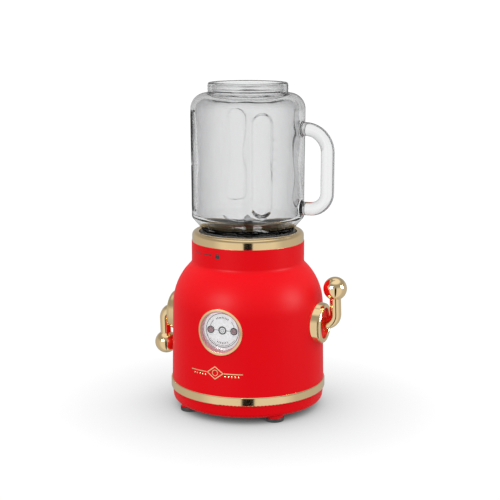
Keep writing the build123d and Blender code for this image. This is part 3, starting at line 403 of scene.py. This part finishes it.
# ---------------------------------------------------------------- camera, lights, floor
def make_camera():
    data = bpy.data.cameras.new("camera")
    data.lens = CAMERA_LENS
    data.sensor_width = CAMERA_SENSOR
    camera = bpy.data.objects.new("camera", data)
    camera.location = (camera_front * CAMERA_DISTANCE + camera_side * CAMERA_SIDE
                       + Vector((0, 0, CAMERA_HEIGHT)))
    camera.rotation_euler = (math.pi / 2 - CAMERA_TILT, 0, CAMERA_AZIMUTH)
    bpy.context.scene.collection.objects.link(camera)
    bpy.context.scene.camera = camera


def area_light(name, place, aim, size, watts, spared):
    """A softbox that makes highlights on everything but the spared pieces."""
    data = bpy.data.lights.new(name, "AREA")
    data.shape = "RECTANGLE"
    data.size, data.size_y = size
    data.energy = watts
    light = bpy.data.objects.new(name, data)
    light.location = place
    light.rotation_euler = (Vector(aim) - Vector(place)).to_track_quat("-Z", "Z").to_euler()
    light.visible_camera = False
    light.visible_diffuse = False
    light.light_linking.receiver_collection = spared
    bpy.context.scene.collection.objects.link(light)


def make_lights(spared_pieces):
    aim = (cad_box[0] + cad_box[1]) / 2
    spared = bpy.data.collections.new("pieces lit by the walls alone")
    for piece in spared_pieces:
        spared.objects.link(piece)
    for entry in spared.collection_objects:
        entry.light_linking.link_state = "EXCLUDE"
    for name, turn, rise, watts in SOFTBOXES:
        azimuth, rise = CAMERA_AZIMUTH + math.radians(turn), math.radians(rise)
        flat = Vector((math.sin(azimuth), -math.cos(azimuth), 0)) * math.cos(rise)
        place = aim + SOFTBOX_DISTANCE * (flat + Vector((0, 0, math.sin(rise))))
        area_light(name, place, aim, SOFTBOX_SIZE, watts, spared)


def wall_levels(tree, share, levels):
    """Brightness of the studio's walls, from the camera's side (0) round to behind the object (1)."""
    walls = node(tree, "ShaderNodeValToRGB", {"Fac": share})
    ramp = walls.color_ramp
    while len(ramp.elements) < len(levels):
        ramp.elements.new(0.5)
    for element, (place, level) in zip(ramp.elements, levels):
        element.position = place
        element.color = (level, level, level, 1)
    return walls.outputs[0]


def choose(tree, share, first, second):
    """first where share is 0 and second where it is 1."""
    mix = node(tree, "ShaderNodeMix", {"Factor": share}, data_type="RGBA")
    for socket, value in ((mix.inputs[6], first), (mix.inputs[7], second)):
        if isinstance(value, bpy.types.NodeSocket):
            tree.links.new(value, socket)
        else:
            socket.default_value = (value, value, value, 1)
    return mix.outputs[2]


def make_world():
    """Soft studio: what lights the paint, what the gold mirrors and what shows through the glass."""
    world = bpy.data.worlds.new("studio")
    bpy.context.scene.world = world
    world.use_nodes = True
    world.cycles.sampling_method = "NONE"
    tree = world.node_tree
    direction = node(tree, "ShaderNodeTexCoord").outputs["Generated"]
    side, front = (node(tree, "ShaderNodeVectorMath", {0: direction, 1: way},
                        operation="DOT_PRODUCT").outputs[1] for way in (camera_side, camera_front))
    up = node(tree, "ShaderNodeSeparateXYZ", {0: direction}).outputs[2]
    share = maths(tree, "DIVIDE", maths(tree, "ABSOLUTE", maths(tree, "ARCTAN2", side, front)), math.pi)
    ambient = choose(tree, spread(tree, up, 0.0, 1.0, *SKY_BLEND), GROUND_LIGHT, SKY_LIGHT)
    shaded = choose(tree, spread(tree, up, 0.0, 1.0, *SHADE_BLEND),
                    wall_levels(tree, share, MIRRORED_WALLS), MIRRORED_SHADE)
    mirrored = choose(tree, spread(tree, up, 0.0, 1.0, *CEILING_BLEND), shaded, MIRRORED_CEILING)
    behind_glass = choose(tree, spread(tree, up, 0.0, 1.0, *GLASS_BLEND),
                          wall_levels(tree, share, GLASS_WALLS), GLASS_CEILING)
    ray = node(tree, "ShaderNodeLightPath").outputs
    light = choose(tree, ray["Is Glossy Ray"], ambient, mirrored)
    light = choose(tree, ray["Is Transmission Ray"], light, behind_glass)
    light = choose(tree, ray["Is Camera Ray"], light, WHITE)
    tree.links.new(light, tree.nodes["Background"].inputs[0])


def make_floor():
    """White glowing sweep with a painted soft contact shadow, dimmed by ambient occlusion, which gold and
    paint don't mirror.
    """
    material = bpy.data.materials.new("white sweep")
    material.use_nodes = True
    tree = material.node_tree
    tree.nodes.remove(tree.nodes["Principled BSDF"])
    painted_shadow_ao = node(tree, "ShaderNodeAmbientOcclusion", {"Distance": SHADOW_REACH},
                    samples=32).outputs["AO"]
    # painted shadow: the floor's glow dims where the object hems it in
    level = maths(tree, "MULTIPLY", maths(tree, "POWER", painted_shadow_ao, SHADOW_DEPTH), WHITE)
    glow = node(tree, "ShaderNodeEmission", {"Strength": level})
    tree.links.new(glow.outputs[0], tree.nodes["Material Output"].inputs[0])
    corners = [(x * FLOOR_REACH, y * FLOOR_REACH, 0) for x, y in ((-1, -1), (1, -1), (1, 1), (-1, 1))]
    mesh = mesh_from("floor", corners, [(0, 1, 2, 3)])
    mesh.materials.append(material)
    floor = loose_object("floor", mesh)
    floor.visible_glossy = False
    floor.visible_diffuse = False
    floor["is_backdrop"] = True


# ---------------------------------------------------------------- glass jar
JAR_SECTION_DEG = 80.0         # clear of the handle and of the pressed panels
JAR_STEPS_ROUND = 300
JAR_STEPS_ALONG = 296
CLIMB_DENSITY = 2.6            # extra rings up the outer wall, for the small raised marks
PANEL_DEGS = (-55, 35, 125, 215)
PANEL_HALF_WIDTH = 8.75 * MM
PANEL_LOW, PANEL_TOP = 180 * MM, 267 * MM
PANEL_DEPTH = 1.2 * MM
PANEL_EDGE = 1.9 * MM          # width of the rounded step round a panel
PANEL_LIP = 0.12 * MM
TICK_DEG = -42.4
TICK_LOW, TICK_PITCH, TICK_COUNT = 212 * MM, 8.5 * MM, 5
TICK_HALF_LENGTH, TICK_HALF_WIDTH, TICK_HEIGHT = 1.8 * MM, 0.6 * MM, 0.48 * MM
HANDLE_R = 5.9 * MM
HANDLE_LOW, HANDLE_TOP = 182.5 * MM, 252 * MM
HANDLE_BENDS = (20 * MM, 15 * MM)
HANDLE_ROOT = 3.2 * MM         # fillet where the handle meets the wall
HANDLE_STEPS_ROUND = 44
BAND_FOOT, BAND_TOP, BAND_PROUD = 185 * MM, 268 * MM, 0.5 * MM   # the wall widens a little upwards
WAVE_DEPTH = 0.45 * MM         # unevenness of the pressed inner wall
WAVE_TURNS, WAVE_CLIMB = 3.1, 42   # how quickly it changes round the wall and up it
WAVE_REACH = 50 * MM           # it is deepest within this of the panels' middle
PLAIN_WALL = 0.2 * MM          # the wall's radius may read this much under WALL_R
UPRIGHT_OUTSIDE, UPRIGHT_INSIDE = 0.9, 0.5   # how upright the wall is where it is pressed
PANEL_MARGIN = 6 * MM          # a panel's step and lip end within this
TICK_FADE_ALONG, TICK_FADE_UP = 0.8 * MM, 0.7 * MM
HANDLE_SPACING = 1.6 * MM      # between rings on the handle's straight runs
HANDLE_BEND_STEPS, HANDLE_ROOT_STEPS = 22, 8
HANDLE_SUNK = 1.6 * MM         # how deep the handle starts in the wall
WALL_R = -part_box("glass_jar")[0].y - 0.5 * MM   # outside of the plain wall


def jar_section():
    """Closed outline (radius, height) of the jar's wall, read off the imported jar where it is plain."""
    work = bmesh.new()
    work.from_mesh(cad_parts["glass_jar"].data)
    bmesh.ops.remove_doubles(work, verts=work.verts, dist=MERGE)
    angle = math.radians(JAR_SECTION_DEG)
    outward = Vector((math.cos(angle), math.sin(angle), 0))
    across = Vector((-math.sin(angle), math.cos(angle), 0))
    cut = bmesh.ops.bisect_plane(work, geom=work.verts[:] + work.edges[:] + work.faces[:], plane_co=(0, 0, 0),
                                 plane_no=across, clear_inner=True, clear_outer=True)["geom_cut"]
    edges = [e for e in cut if isinstance(e, bmesh.types.BMEdge) and e.verts[0].co.dot(outward) > 0]
    neighbours = {}
    for edge in edges:
        a, b = edge.verts
        neighbours.setdefault(a, []).append(b)
        neighbours.setdefault(b, []).append(a)
    start = min(neighbours, key=lambda v: (round(v.co.z, 5), -v.co.dot(outward)))
    loop, last, here = [start], None, start
    while True:
        onward = [v for v in neighbours[here] if v is not last]
        last, here = here, onward[0] if last is not None else max(onward, key=lambda v: v.co.z)
        if here is start or len(loop) > 5000:
            break
        loop.append(here)
    outline = [(v.co.dot(outward), v.co.z) for v in loop]
    work.free()
    return outline


def even_outline(outline, count, bend_weight):
    """The outline again with count points, closer together where it turns and up the outer wall."""
    size = len(outline)
    spans = []
    for i in range(size):
        before, here, after = (Vector(outline[(i + k) % size]) for k in (-1, 0, 1))
        turn = (here - before).angle(after - here, 0.0) if (here - before).length > 1e-7 else 0.0
        climbs = (after - here).y > 0.9 * (after - here).length
        spans.append((after - here).length * (CLIMB_DENSITY if climbs else 1) + bend_weight * turn / 2)
        spans[i - 1] += bend_weight * turn / 2
    total, found, walked, i = sum(spans), [], 0.0, 0
    for step in range(count):
        target = total * step / count
        while walked + spans[i] < target:
            walked += spans[i]
            i += 1
        share = (target - walked) / spans[i]
        found.append(Vector(outline[i]).lerp(Vector(outline[(i + 1) % size]), share))
    return found


def smooth_step(value):
    value = min(1.0, max(0.0, value))
    return value * value * (3 - 2 * value)


def panel_distance(radius, angle, height):
    """Distance outside the nearest panel's outline, less than zero inside it."""
    half_rise = (PANEL_TOP - PANEL_LOW) / 2 - PANEL_HALF_WIDTH
    up = max(0.0, abs(height - (PANEL_LOW + PANEL_TOP) / 2) - half_rise)
    best = 1.0
    for panel in PANEL_DEGS:
        turn = (angle - math.radians(panel) + math.pi) % TURN - math.pi
        best = min(best, math.hypot(radius * turn, up) - PANEL_HALF_WIDTH)
    return best


def tick_rise(radius, angle, height):
    """Height of the raised measuring marks at a point of the outer wall."""
    along = abs(radius * (angle - math.radians(TICK_DEG)))
    nearest = round((height - TICK_LOW) / TICK_PITCH)
    if not 0 <= nearest < TICK_COUNT:
        return 0.0
    off = abs(height - TICK_LOW - nearest * TICK_PITCH)
    ends = smooth_step((TICK_HALF_LENGTH - along) / TICK_FADE_ALONG + 0.5)
    return TICK_HEIGHT * ends * smooth_step((TICK_HALF_WIDTH - off) / TICK_FADE_UP + 0.5)


def jar_wall():
    """The jar without its handle: the section swept round, with panels, marks and a wavy inner wall."""
    outline = even_outline(jar_section(), JAR_STEPS_ALONG, 3 * MM)
    centre_height = (PANEL_LOW + PANEL_TOP) / 2
    points, faces = [], []
    for i, (radius, height) in enumerate(outline):
        before, after = outline[i - 1], outline[(i + 1) % len(outline)]
        outer = (after - before).y > 0
        steep = abs((after - before).normalized().y)
        for j in range(JAR_STEPS_ROUND):
            angle = TURN * j / JAR_STEPS_ROUND - math.pi
            here = radius
            if outer and steep > UPRIGHT_OUTSIDE and height < BAND_TOP and radius > WALL_R - PLAIN_WALL:
                here = WALL_R + BAND_PROUD * smooth_step((height - BAND_FOOT) / (BAND_TOP - BAND_FOOT))
            pressed = PANEL_LOW - PANEL_MARGIN < height < PANEL_TOP + PANEL_MARGIN
            if outer and steep > UPRIGHT_OUTSIDE and pressed:
                away = panel_distance(radius, angle, height)
                sunk = smooth_step(0.5 - away / PANEL_EDGE)
                lip = math.exp(-((away - 0.75 * PANEL_EDGE) / (0.5 * PANEL_EDGE)) ** 2)
                floor_radius = WALL_R - PANEL_DEPTH
                here += sunk * (floor_radius - here) + PANEL_LIP * lip
                here += tick_rise(radius, angle, height)
            elif not outer and steep > UPRIGHT_INSIDE:
                wave = noise.noise(Vector((WAVE_TURNS * math.cos(angle), WAVE_TURNS * math.sin(angle),
                                           height * WAVE_CLIMB)))
                fade = smooth_step(1.4 - abs(height - centre_height) / WAVE_REACH)
                here += WAVE_DEPTH * wave * (0.35 + 0.65 * fade)
            points.append((here * math.cos(angle), here * math.sin(angle), height))
    for i in range(JAR_STEPS_ALONG):
        for j in range(JAR_STEPS_ROUND):
            right = (j + 1) % JAR_STEPS_ROUND
            low, high = i * JAR_STEPS_ROUND, (i + 1) % JAR_STEPS_ALONG * JAR_STEPS_ROUND
            faces.append((low + j, low + right, high + right, high + j))
    return mesh_from("jar wall", points, faces)


def handle_route():
    """Centreline of the handle from the top root to the bottom one: points and headings."""
    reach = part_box("glass_jar")[1].x - HANDLE_R
    top_bend, low_bend = HANDLE_BENDS
    spans = [("run", Vector((WALL_R, 0, HANDLE_TOP)), Vector((reach - top_bend, 0, HANDLE_TOP))),
             ("bend", Vector((reach - top_bend, 0, HANDLE_TOP - top_bend)), top_bend, 90),
             ("run", Vector((reach, 0, HANDLE_TOP - top_bend)), Vector((reach, 0, HANDLE_LOW + low_bend))),
             ("bend", Vector((reach - low_bend, 0, HANDLE_LOW + low_bend)), low_bend, 0),
             ("run", Vector((reach - low_bend, 0, HANDLE_LOW)), Vector((WALL_R, 0, HANDLE_LOW)))]
    stations = []
    for span in spans:
        if span[0] == "run":
            steps = max(1, round((span[2] - span[1]).length / HANDLE_SPACING))
            heading = (span[2] - span[1]).normalized()
            stations += [(span[1].lerp(span[2], k / steps), heading) for k in range(steps)]
        else:
            for k in range(HANDLE_BEND_STEPS):
                angle = math.radians(span[3] - 90 * k / HANDLE_BEND_STEPS)
                outward = Vector((math.cos(angle), 0, math.sin(angle)))
                heading = Vector((math.sin(angle), 0, -math.cos(angle)))
                stations.append((span[1] + span[2] * outward, heading))
    stations.append((spans[-1][2], Vector((-1, 0, 0))))
    return stations


def jar_handle():
    """Round glass handle whose two roots swell into the wall."""
    stations = handle_route()
    rings = []
    for centre, heading in stations[1:-1]:
        if centre.x - WALL_R < HANDLE_ROOT * 1.02:
            continue
        upright = Vector((0, 1, 0)).cross(heading)
        ring = []
        for j in range(HANDLE_STEPS_ROUND):
            turn = TURN * j / HANDLE_STEPS_ROUND
            ring.append(centre + HANDLE_R * (math.cos(turn) * Vector((0, 1, 0)) + math.sin(turn) * upright))
        rings.append(ring)
    rings = root_rings(HANDLE_TOP, 1) + rings + root_rings(HANDLE_LOW, -1)[::-1]
    points = [p for ring in rings for p in ring]
    count = HANDLE_STEPS_ROUND
    faces = [(low + j, low + (j + 1) % count, low + count + (j + 1) % count, low + count + j)
             for low in range(0, (len(rings) - 1) * count, count) for j in range(count)]
    faces += [tuple(range(count)), tuple((len(rings) - 1) * count + j for j in range(count))]
    return tidy_mesh(mesh_from("jar handle", points, faces))


def root_rings(height, facing):
    """Rings from inside the wall out to the plain round handle, following the wall's curve."""
    rings = []
    for k in range(-1, HANDLE_ROOT_STEPS + 1):
        angle = math.pi / 2 * max(0, k) / HANDLE_ROOT_STEPS
        swell = HANDLE_R + HANDLE_ROOT * (1 - math.sin(angle))
        lift = HANDLE_ROOT * (1 - math.cos(angle)) if k >= 0 else -HANDLE_SUNK
        ring = []
        for j in range(HANDLE_STEPS_ROUND):
            turn = TURN * j / HANDLE_STEPS_ROUND
            y = swell * math.cos(turn)
            wall = math.sqrt(WALL_R ** 2 - y ** 2)
            ring.append(Vector((wall + lift, y, height - facing * swell * math.sin(turn))))
        rings.append(ring)
    return rings


def make_jar(finishes):
    body = loose_object("jar body", jar_wall())
    handle = loose_object("handle body", jar_handle())
    union = body.modifiers.new("join handle", "BOOLEAN")
    union.operation = "UNION"
    union.solver = "EXACT"
    union.object = handle
    mesh = evaluated_mesh(body)
    bpy.data.objects.remove(handle)
    jar = mesh_object("handled_jar", mesh, finishes["clear_glass"], "jar", 50)
    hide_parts("glass_jar")
    return jar


# ---------------------------------------------------------------- geometry trees
def geometry_tree(name, inputs):
    """A geometry tree with named inputs: the tree, its input values and the socket its result goes to."""
    tree = bpy.data.node_groups.new(name, "GeometryNodeTree")
    for label, kind in inputs:
        tree.interface.new_socket(label, in_out="INPUT", socket_type="NodeSocket" + kind)
    tree.interface.new_socket("Geometry", in_out="OUTPUT", socket_type="NodeSocketGeometry")
    return tree, tree.nodes.new("NodeGroupInput").outputs, tree.nodes.new("NodeGroupOutput").inputs[0]


def end_tree(tree, instances, material, result):
    plain = node(tree, "GeometryNodeRealizeInstances", {"Geometry": instances}).outputs[0]
    dressed = node(tree, "GeometryNodeSetMaterial", {"Geometry": plain, "Material": material}).outputs[0]
    tree.links.new(dressed, result)


def grown(tree, **values):
    """The plain mesh that a geometry tree gives with these inputs."""
    carrier = loose_object(tree.name, bpy.data.meshes.new(tree.name))
    modifier = carrier.modifiers.new(tree.name, "NODES")
    modifier.node_group = tree
    for item in tree.interface.items_tree:
        if item.in_out == "INPUT":
            modifier[item.identifier] = values[item.name]
    return evaluated_mesh(carrier)


def stroke_track():
    """Small oval strokes set round an arc, leaning as asked."""
    tree, given, result = geometry_tree("stroke track", (
        ("Count", "Int"), ("Radius", "Float"), ("Start", "Float"), ("Sweep", "Float"), ("Length", "Float"),
        ("Width", "Float"), ("Lean", "Float"), ("Thickness", "Float"), ("Material", "Material")))
    arc = node(tree, "GeometryNodeCurveArc", {"Resolution": given["Count"], "Radius": given["Radius"],
                                              "Start Angle": given["Start"], "Sweep Angle": given["Sweep"]})
    stroke = node(tree, "GeometryNodeMeshCylinder", {"Vertices": 14, "Radius": 0.5,
                                                     "Depth": given["Thickness"]})
    gaps = maths(tree, "SUBTRACT", given["Count"], 1.0)
    index = node(tree, "GeometryNodeInputIndex").outputs[0]
    along = maths(tree, "DIVIDE", maths(tree, "MULTIPLY", index, given["Sweep"]), gaps)
    turn = maths(tree, "ADD", maths(tree, "ADD", given["Start"], along), given["Lean"])
    spin = node(tree, "ShaderNodeCombineXYZ", {"Z": turn})
    size = node(tree, "ShaderNodeCombineXYZ", {"X": given["Length"], "Y": given["Width"], "Z": 1.0})
    strokes = node(tree, "GeometryNodeInstanceOnPoints", {
        "Points": arc.outputs[0], "Instance": stroke.outputs[0], "Rotation": spin.outputs[0],
        "Scale": size.outputs[0]})
    end_tree(tree, strokes.outputs[0], given["Material"], result)
    return tree


def bead_row():
    """Low round beads in a straight row."""
    tree, given, result = geometry_tree("bead row", (
        ("Count", "Int"), ("Pitch", "Float"), ("Radius", "Float"), ("Flatness", "Float"),
        ("Material", "Material")))
    step = node(tree, "ShaderNodeCombineXYZ", {"X": given["Pitch"]})
    row = node(tree, "GeometryNodeMeshLine", {"Count": given["Count"], "Offset": step.outputs[0]})
    bead = node(tree, "GeometryNodeMeshIcoSphere", {"Radius": given["Radius"], "Subdivisions": 3})
    size = node(tree, "ShaderNodeCombineXYZ", {"X": 1.0, "Y": 1.0, "Z": given["Flatness"]})
    beads = node(tree, "GeometryNodeInstanceOnPoints", {
        "Points": row.outputs[0], "Instance": bead.outputs[0], "Scale": size.outputs[0]})
    end_tree(tree, beads.outputs[0], given["Material"], result)
    return tree


# ---------------------------------------------------------------- artwork, drawn flat and laid on a surface
def arc_route(centre, radius, start, stop, steps):
    turns = [math.radians(start + (stop - start) * k / steps) for k in range(steps + 1)]
    return [Vector((centre[0] + radius * math.cos(a), centre[1] + radius * math.sin(a))) for a in turns]


def straight(start, stop, steps=1):
    return [Vector(start).lerp(Vector(stop), k / steps) for k in range(steps + 1)]


def line(route, width, thick, closed=False):
    """A line of constant width as a low closed solid: across, up, out."""
    points, count = [], len(route)
    for i, here in enumerate(route):
        before = route[i - 1] if closed or i else here
        after = route[(i + 1) % count] if closed or i < count - 1 else here
        heading = (after - before).normalized() * width / 2
        points += [(here.x - side * heading.y, here.y + side * heading.x, level)
                   for side, level in ((-1, 0), (1, 0), (1, thick), (-1, thick))]
    faces = []
    for i in range(count if closed else count - 1):
        low, high = 4 * i, 4 * ((i + 1) % count)
        faces += [(low + k, low + (k + 1) % 4, high + (k + 1) % 4, high + k) for k in range(4)]
    if not closed:
        faces += [(3, 2, 1, 0), tuple(4 * (count - 1) + k for k in range(4))]
    return mesh_from("line", points, faces)


def ring_line(centre, radius, width, thick, steps=72):
    return line(arc_route(centre, radius, 0, 360, steps)[:-1], width, thick, True)


def plate(outline, thick):
    """A filled shape as a low closed solid."""
    count = len(outline)
    points = [(p[0], p[1], level) for level in (0, thick) for p in outline]
    faces = [tuple(range(count))[::-1], tuple(range(count, 2 * count))]
    faces += [(k, (k + 1) % count, count + (k + 1) % count, count + k) for k in range(count)]
    return mesh_from("plate", points, faces)


def shifted(mesh, across, up=0.0):
    for vertex in mesh.vertices:
        vertex.co.x += across
        vertex.co.y += up
    return mesh


def lay(name, meshes, place):
    """Join pieces of artwork and lay them on a surface: place turns (across, up, out) into a point."""
    mesh = join_meshes(name, meshes)
    for vertex in mesh.vertices:
        vertex.co = place(*vertex.co)
    return tidy_mesh(mesh)


def on_shell(azimuth_deg, height, sunk):
    """Lays artwork on the painted shell, centred at an azimuth and a height."""
    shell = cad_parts["base_shell"].data
    skin = BVHTree.FromPolygons([v.co for v in shell.vertices], [p.vertices for p in shell.polygons])

    def reach(turn, level):
        outward = Vector((math.sin(turn), -math.cos(turn), 0))
        start = outward * 0.2 + Vector((0, 0, level))
        return outward, skin.ray_cast(start, -outward)[0].xy.length

    radius = reach(math.radians(azimuth_deg), height)[1]

    def place(across, up, out):
        outward, skin_radius = reach(math.radians(azimuth_deg) + across / radius, height + up)
        return outward * (skin_radius + out - sunk) + Vector((0, 0, height + up))
    return place


INK = 0.08 * MM                # thickness of a print
LAMP_ACROSS = 10.7 * MM        # each lamp from the middle of the dial
DIAL_RING_R, DIAL_RING_WIDTH = 14.9 * MM, 0.5 * MM
MARK_RING_R, MARK_RING_WIDTH = 3.1 * MM, 1.2 * MM
LAMP_RING_R, LAMP_RING_WIDTH = 2.95 * MM, 0.85 * MM
POWER_R, POWER_WIDTH = 1.45 * MM, 0.38 * MM
LINK_FROM, LINK_TO, LINK_WIDTH = 3.5 * MM, LAMP_ACROSS - 3.0 * MM, 0.45 * MM
# rows of strokes round the dial: count, first and swept degrees, then radius, length, width (mm), lean
DIAL_STROKES = (
    (9, 62, 56, 11.3, 1.9, 0.7, 0), (7, 246, 48, 11.2, 1.8, 0.7, 0), (61, 215, 110, 13.6, 0.7, 0.2, 0),
    (6, 20, 24, 11.6, 1.4, 0.36, 40), (6, 136, 24, 11.6, 1.4, 0.36, -40))
LOCK_MARKS_DEG, LOCK_MARKS_HEIGHT = -27, 144.6 * MM
ORNAMENT_DEG, ORNAMENT_HEIGHT = -3.5, 46 * MM
ORNAMENT_THICK, ORNAMENT_SUNK, ORNAMENT_HALF = 0.14 * MM, 0.03 * MM, 25 * MM
LOZENGE_HALF_WIDTH, LOZENGE_HALF_HEIGHT = 7.5 * MM, 5.5 * MM
COLLAR_R, CREASE_HEIGHT = 50.4 * MM, 131.5 * MM
HOLLOW_UP, HOLLOW_DOWN = 2.0 * MM, 2.2 * MM
HOLLOW_STEPS, HOLLOW_STEPS_ROUND = 10, 180
SKIN = 0.02 * MM               # a piece laid on the shell starts or ends this far from its skin


def print_gauge(finishes, track):
    """Dial print: ring, lamp rings joined to a power symbol, and plain ticks where lettering would go."""
    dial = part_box("gauge_dial")
    centre = (dial[0] + dial[1]) / 2
    art = [ring_line((0, 0), DIAL_RING_R, DIAL_RING_WIDTH, INK, 128)]
    art += [ring_line((0, 0), MARK_RING_R, MARK_RING_WIDTH, INK)]
    art += [line(arc_route((0, 0), POWER_R, 125, 415, 30), POWER_WIDTH, INK)]
    art += [line(straight((0, 0.3 * MM), (0, 2.0 * MM)), POWER_WIDTH, INK)]
    for side in (-1, 1):
        art += [ring_line((side * LAMP_ACROSS, 0), LAMP_RING_R, LAMP_RING_WIDTH, INK)]
        art += [line(straight((side * LINK_FROM, 0), (side * LINK_TO, 0)), LINK_WIDTH, INK)]
    ink = finishes["black_plastic"]

    def strokes(count, start, sweep, radius, length, width, lean):
        return grown(track, Count=count, Radius=radius * MM, Start=math.radians(start),
                     Sweep=math.radians(sweep), Length=length * MM, Width=width * MM,
                     Lean=math.radians(lean), Thickness=2 * INK, Material=ink)

    art += [strokes(*row) for row in DIAL_STROKES]
    for side in (-1, 1):
        art += [shifted(strokes(5, 260, 20, 9, 0.7, 0.22, 0), side * LAMP_ACROSS, 4.6 * MM)]
    mesh = lay("gauge print", art,
               lambda across, up, out: Vector((across, dial[0].y - out, centre.z + up)))
    mesh_object("gauge_print", mesh, ink, "base")


def print_lock_marks(finishes):
    """How the jar turns to lock: a stop line, a dot, an arrow and a padlock."""
    art = [line(straight((-17 * MM, 0), (-9.5 * MM, 0), 10), 0.8 * MM, INK)]
    art += [plate(arc_route((-5.6 * MM, -0.3 * MM), 0.9 * MM, 0, 345, 23), INK)]
    art += [line(straight((-2.2 * MM, 0), (6.2 * MM, 0), 10), 0.7 * MM, INK)]
    art += [plate([(6.0 * MM, 1.1 * MM), (6.0 * MM, -1.1 * MM), (8.6 * MM, 0)], INK)]
    art += [line(straight((12.2 * MM, -0.9 * MM), (16.6 * MM, -0.9 * MM), 6), 3.0 * MM, INK)]
    art += [line(arc_route((14.4 * MM, 0.5 * MM), 1.35 * MM, 0, 180, 14), 0.6 * MM, INK)]
    mesh = lay("lock marks", art, on_shell(LOCK_MARKS_DEG, LOCK_MARKS_HEIGHT, SKIN))
    mesh_object("lock_marks", mesh, finishes["black_plastic"], "base")


def lay_ornament(finishes, beads):
    """Plain gold line with a lozenge and beads, low on the front of the shell."""
    thick, gold = ORNAMENT_THICK, finishes["gold_trim"]
    lozenge = [(-LOZENGE_HALF_WIDTH, 0), (0, LOZENGE_HALF_HEIGHT), (LOZENGE_HALF_WIDTH, 0),
               (0, -LOZENGE_HALF_HEIGHT)]
    sides = [Vector(a).lerp(Vector(b), k / 8) for a, b in zip(lozenge, lozenge[1:] + lozenge[:1])
             for k in range(8)]
    art = [line(sides, 0.8 * MM, thick, True), ring_line((0, 0), 2.5 * MM, 0.5 * MM, thick, 40)]
    for side in (-1, 1):
        art += [line(straight((side * 8.2 * MM, 0), (side * ORNAMENT_HALF, 0), 24), 0.75 * MM, thick)]
        row = grown(beads, Count=5, Pitch=side * 3.0 * MM, Radius=0.75 * MM, Flatness=0.3, Material=gold)
        art += [shifted(row, side * 9.5 * MM, -2.6 * MM)]
    mesh = lay("front ornament", art, on_shell(ORNAMENT_DEG, ORNAMENT_HEIGHT, ORNAMENT_SUNK))
    mesh_object("front_ornament", mesh, gold, "base")


def soften_crease(finishes):
    """The small hollow radius where the collar runs into the dome."""
    foot_height = CREASE_HEIGHT - HOLLOW_DOWN
    foot = Vector((-on_shell(0, foot_height, 0.0)(0, 0, SKIN).y, foot_height))
    top = Vector((COLLAR_R + SKIN, CREASE_HEIGHT + HOLLOW_UP))
    bend = Vector((COLLAR_R, CREASE_HEIGHT))
    shares = [k / HOLLOW_STEPS for k in range(HOLLOW_STEPS + 1)]
    hollow = [top.lerp(bend, share).lerp(bend.lerp(foot, share), share) for share in shares]
    section = hollow + [foot - Vector((0.4 * MM, 0.2 * MM)), bend - Vector((0.5 * MM, 0.6 * MM)),
                        top - Vector((0.4 * MM, 0))]
    steps = HOLLOW_STEPS_ROUND
    points = [(p.x * math.cos(TURN * j / steps), p.x * math.sin(TURN * j / steps), p.y)
              for p in section for j in range(steps)]
    faces = []
    for i in range(len(section)):
        here, over = i * steps, (i + 1) % len(section) * steps
        faces += [(here + j, here + (j + 1) % steps, over + (j + 1) % steps, over + j) for j in range(steps)]
    mesh = tidy_mesh(mesh_from("collar hollow", points, faces))
    mesh_object("collar_hollow", mesh, finishes["satin_red"], "base", 40)


finishes = make_finishes()
dress_nodes(finishes)
make_camera()
make_world()
make_floor()
trims = [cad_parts[name] for name in ("gauge_lens", "top_trim_ring", "bottom_trim_band")]
make_lights([make_jar(finishes)] + trims)
print_gauge(finishes, stroke_track())
print_lock_marks(finishes)
lay_ornament(finishes, bead_row())
soften_crease(finishes)


def corners(box):
    return [list(corner) for corner in box]


bpy.context.scene.view_settings.view_transform = "Standard"
{"cad": corners(cad_box), "visual": corners(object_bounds())}
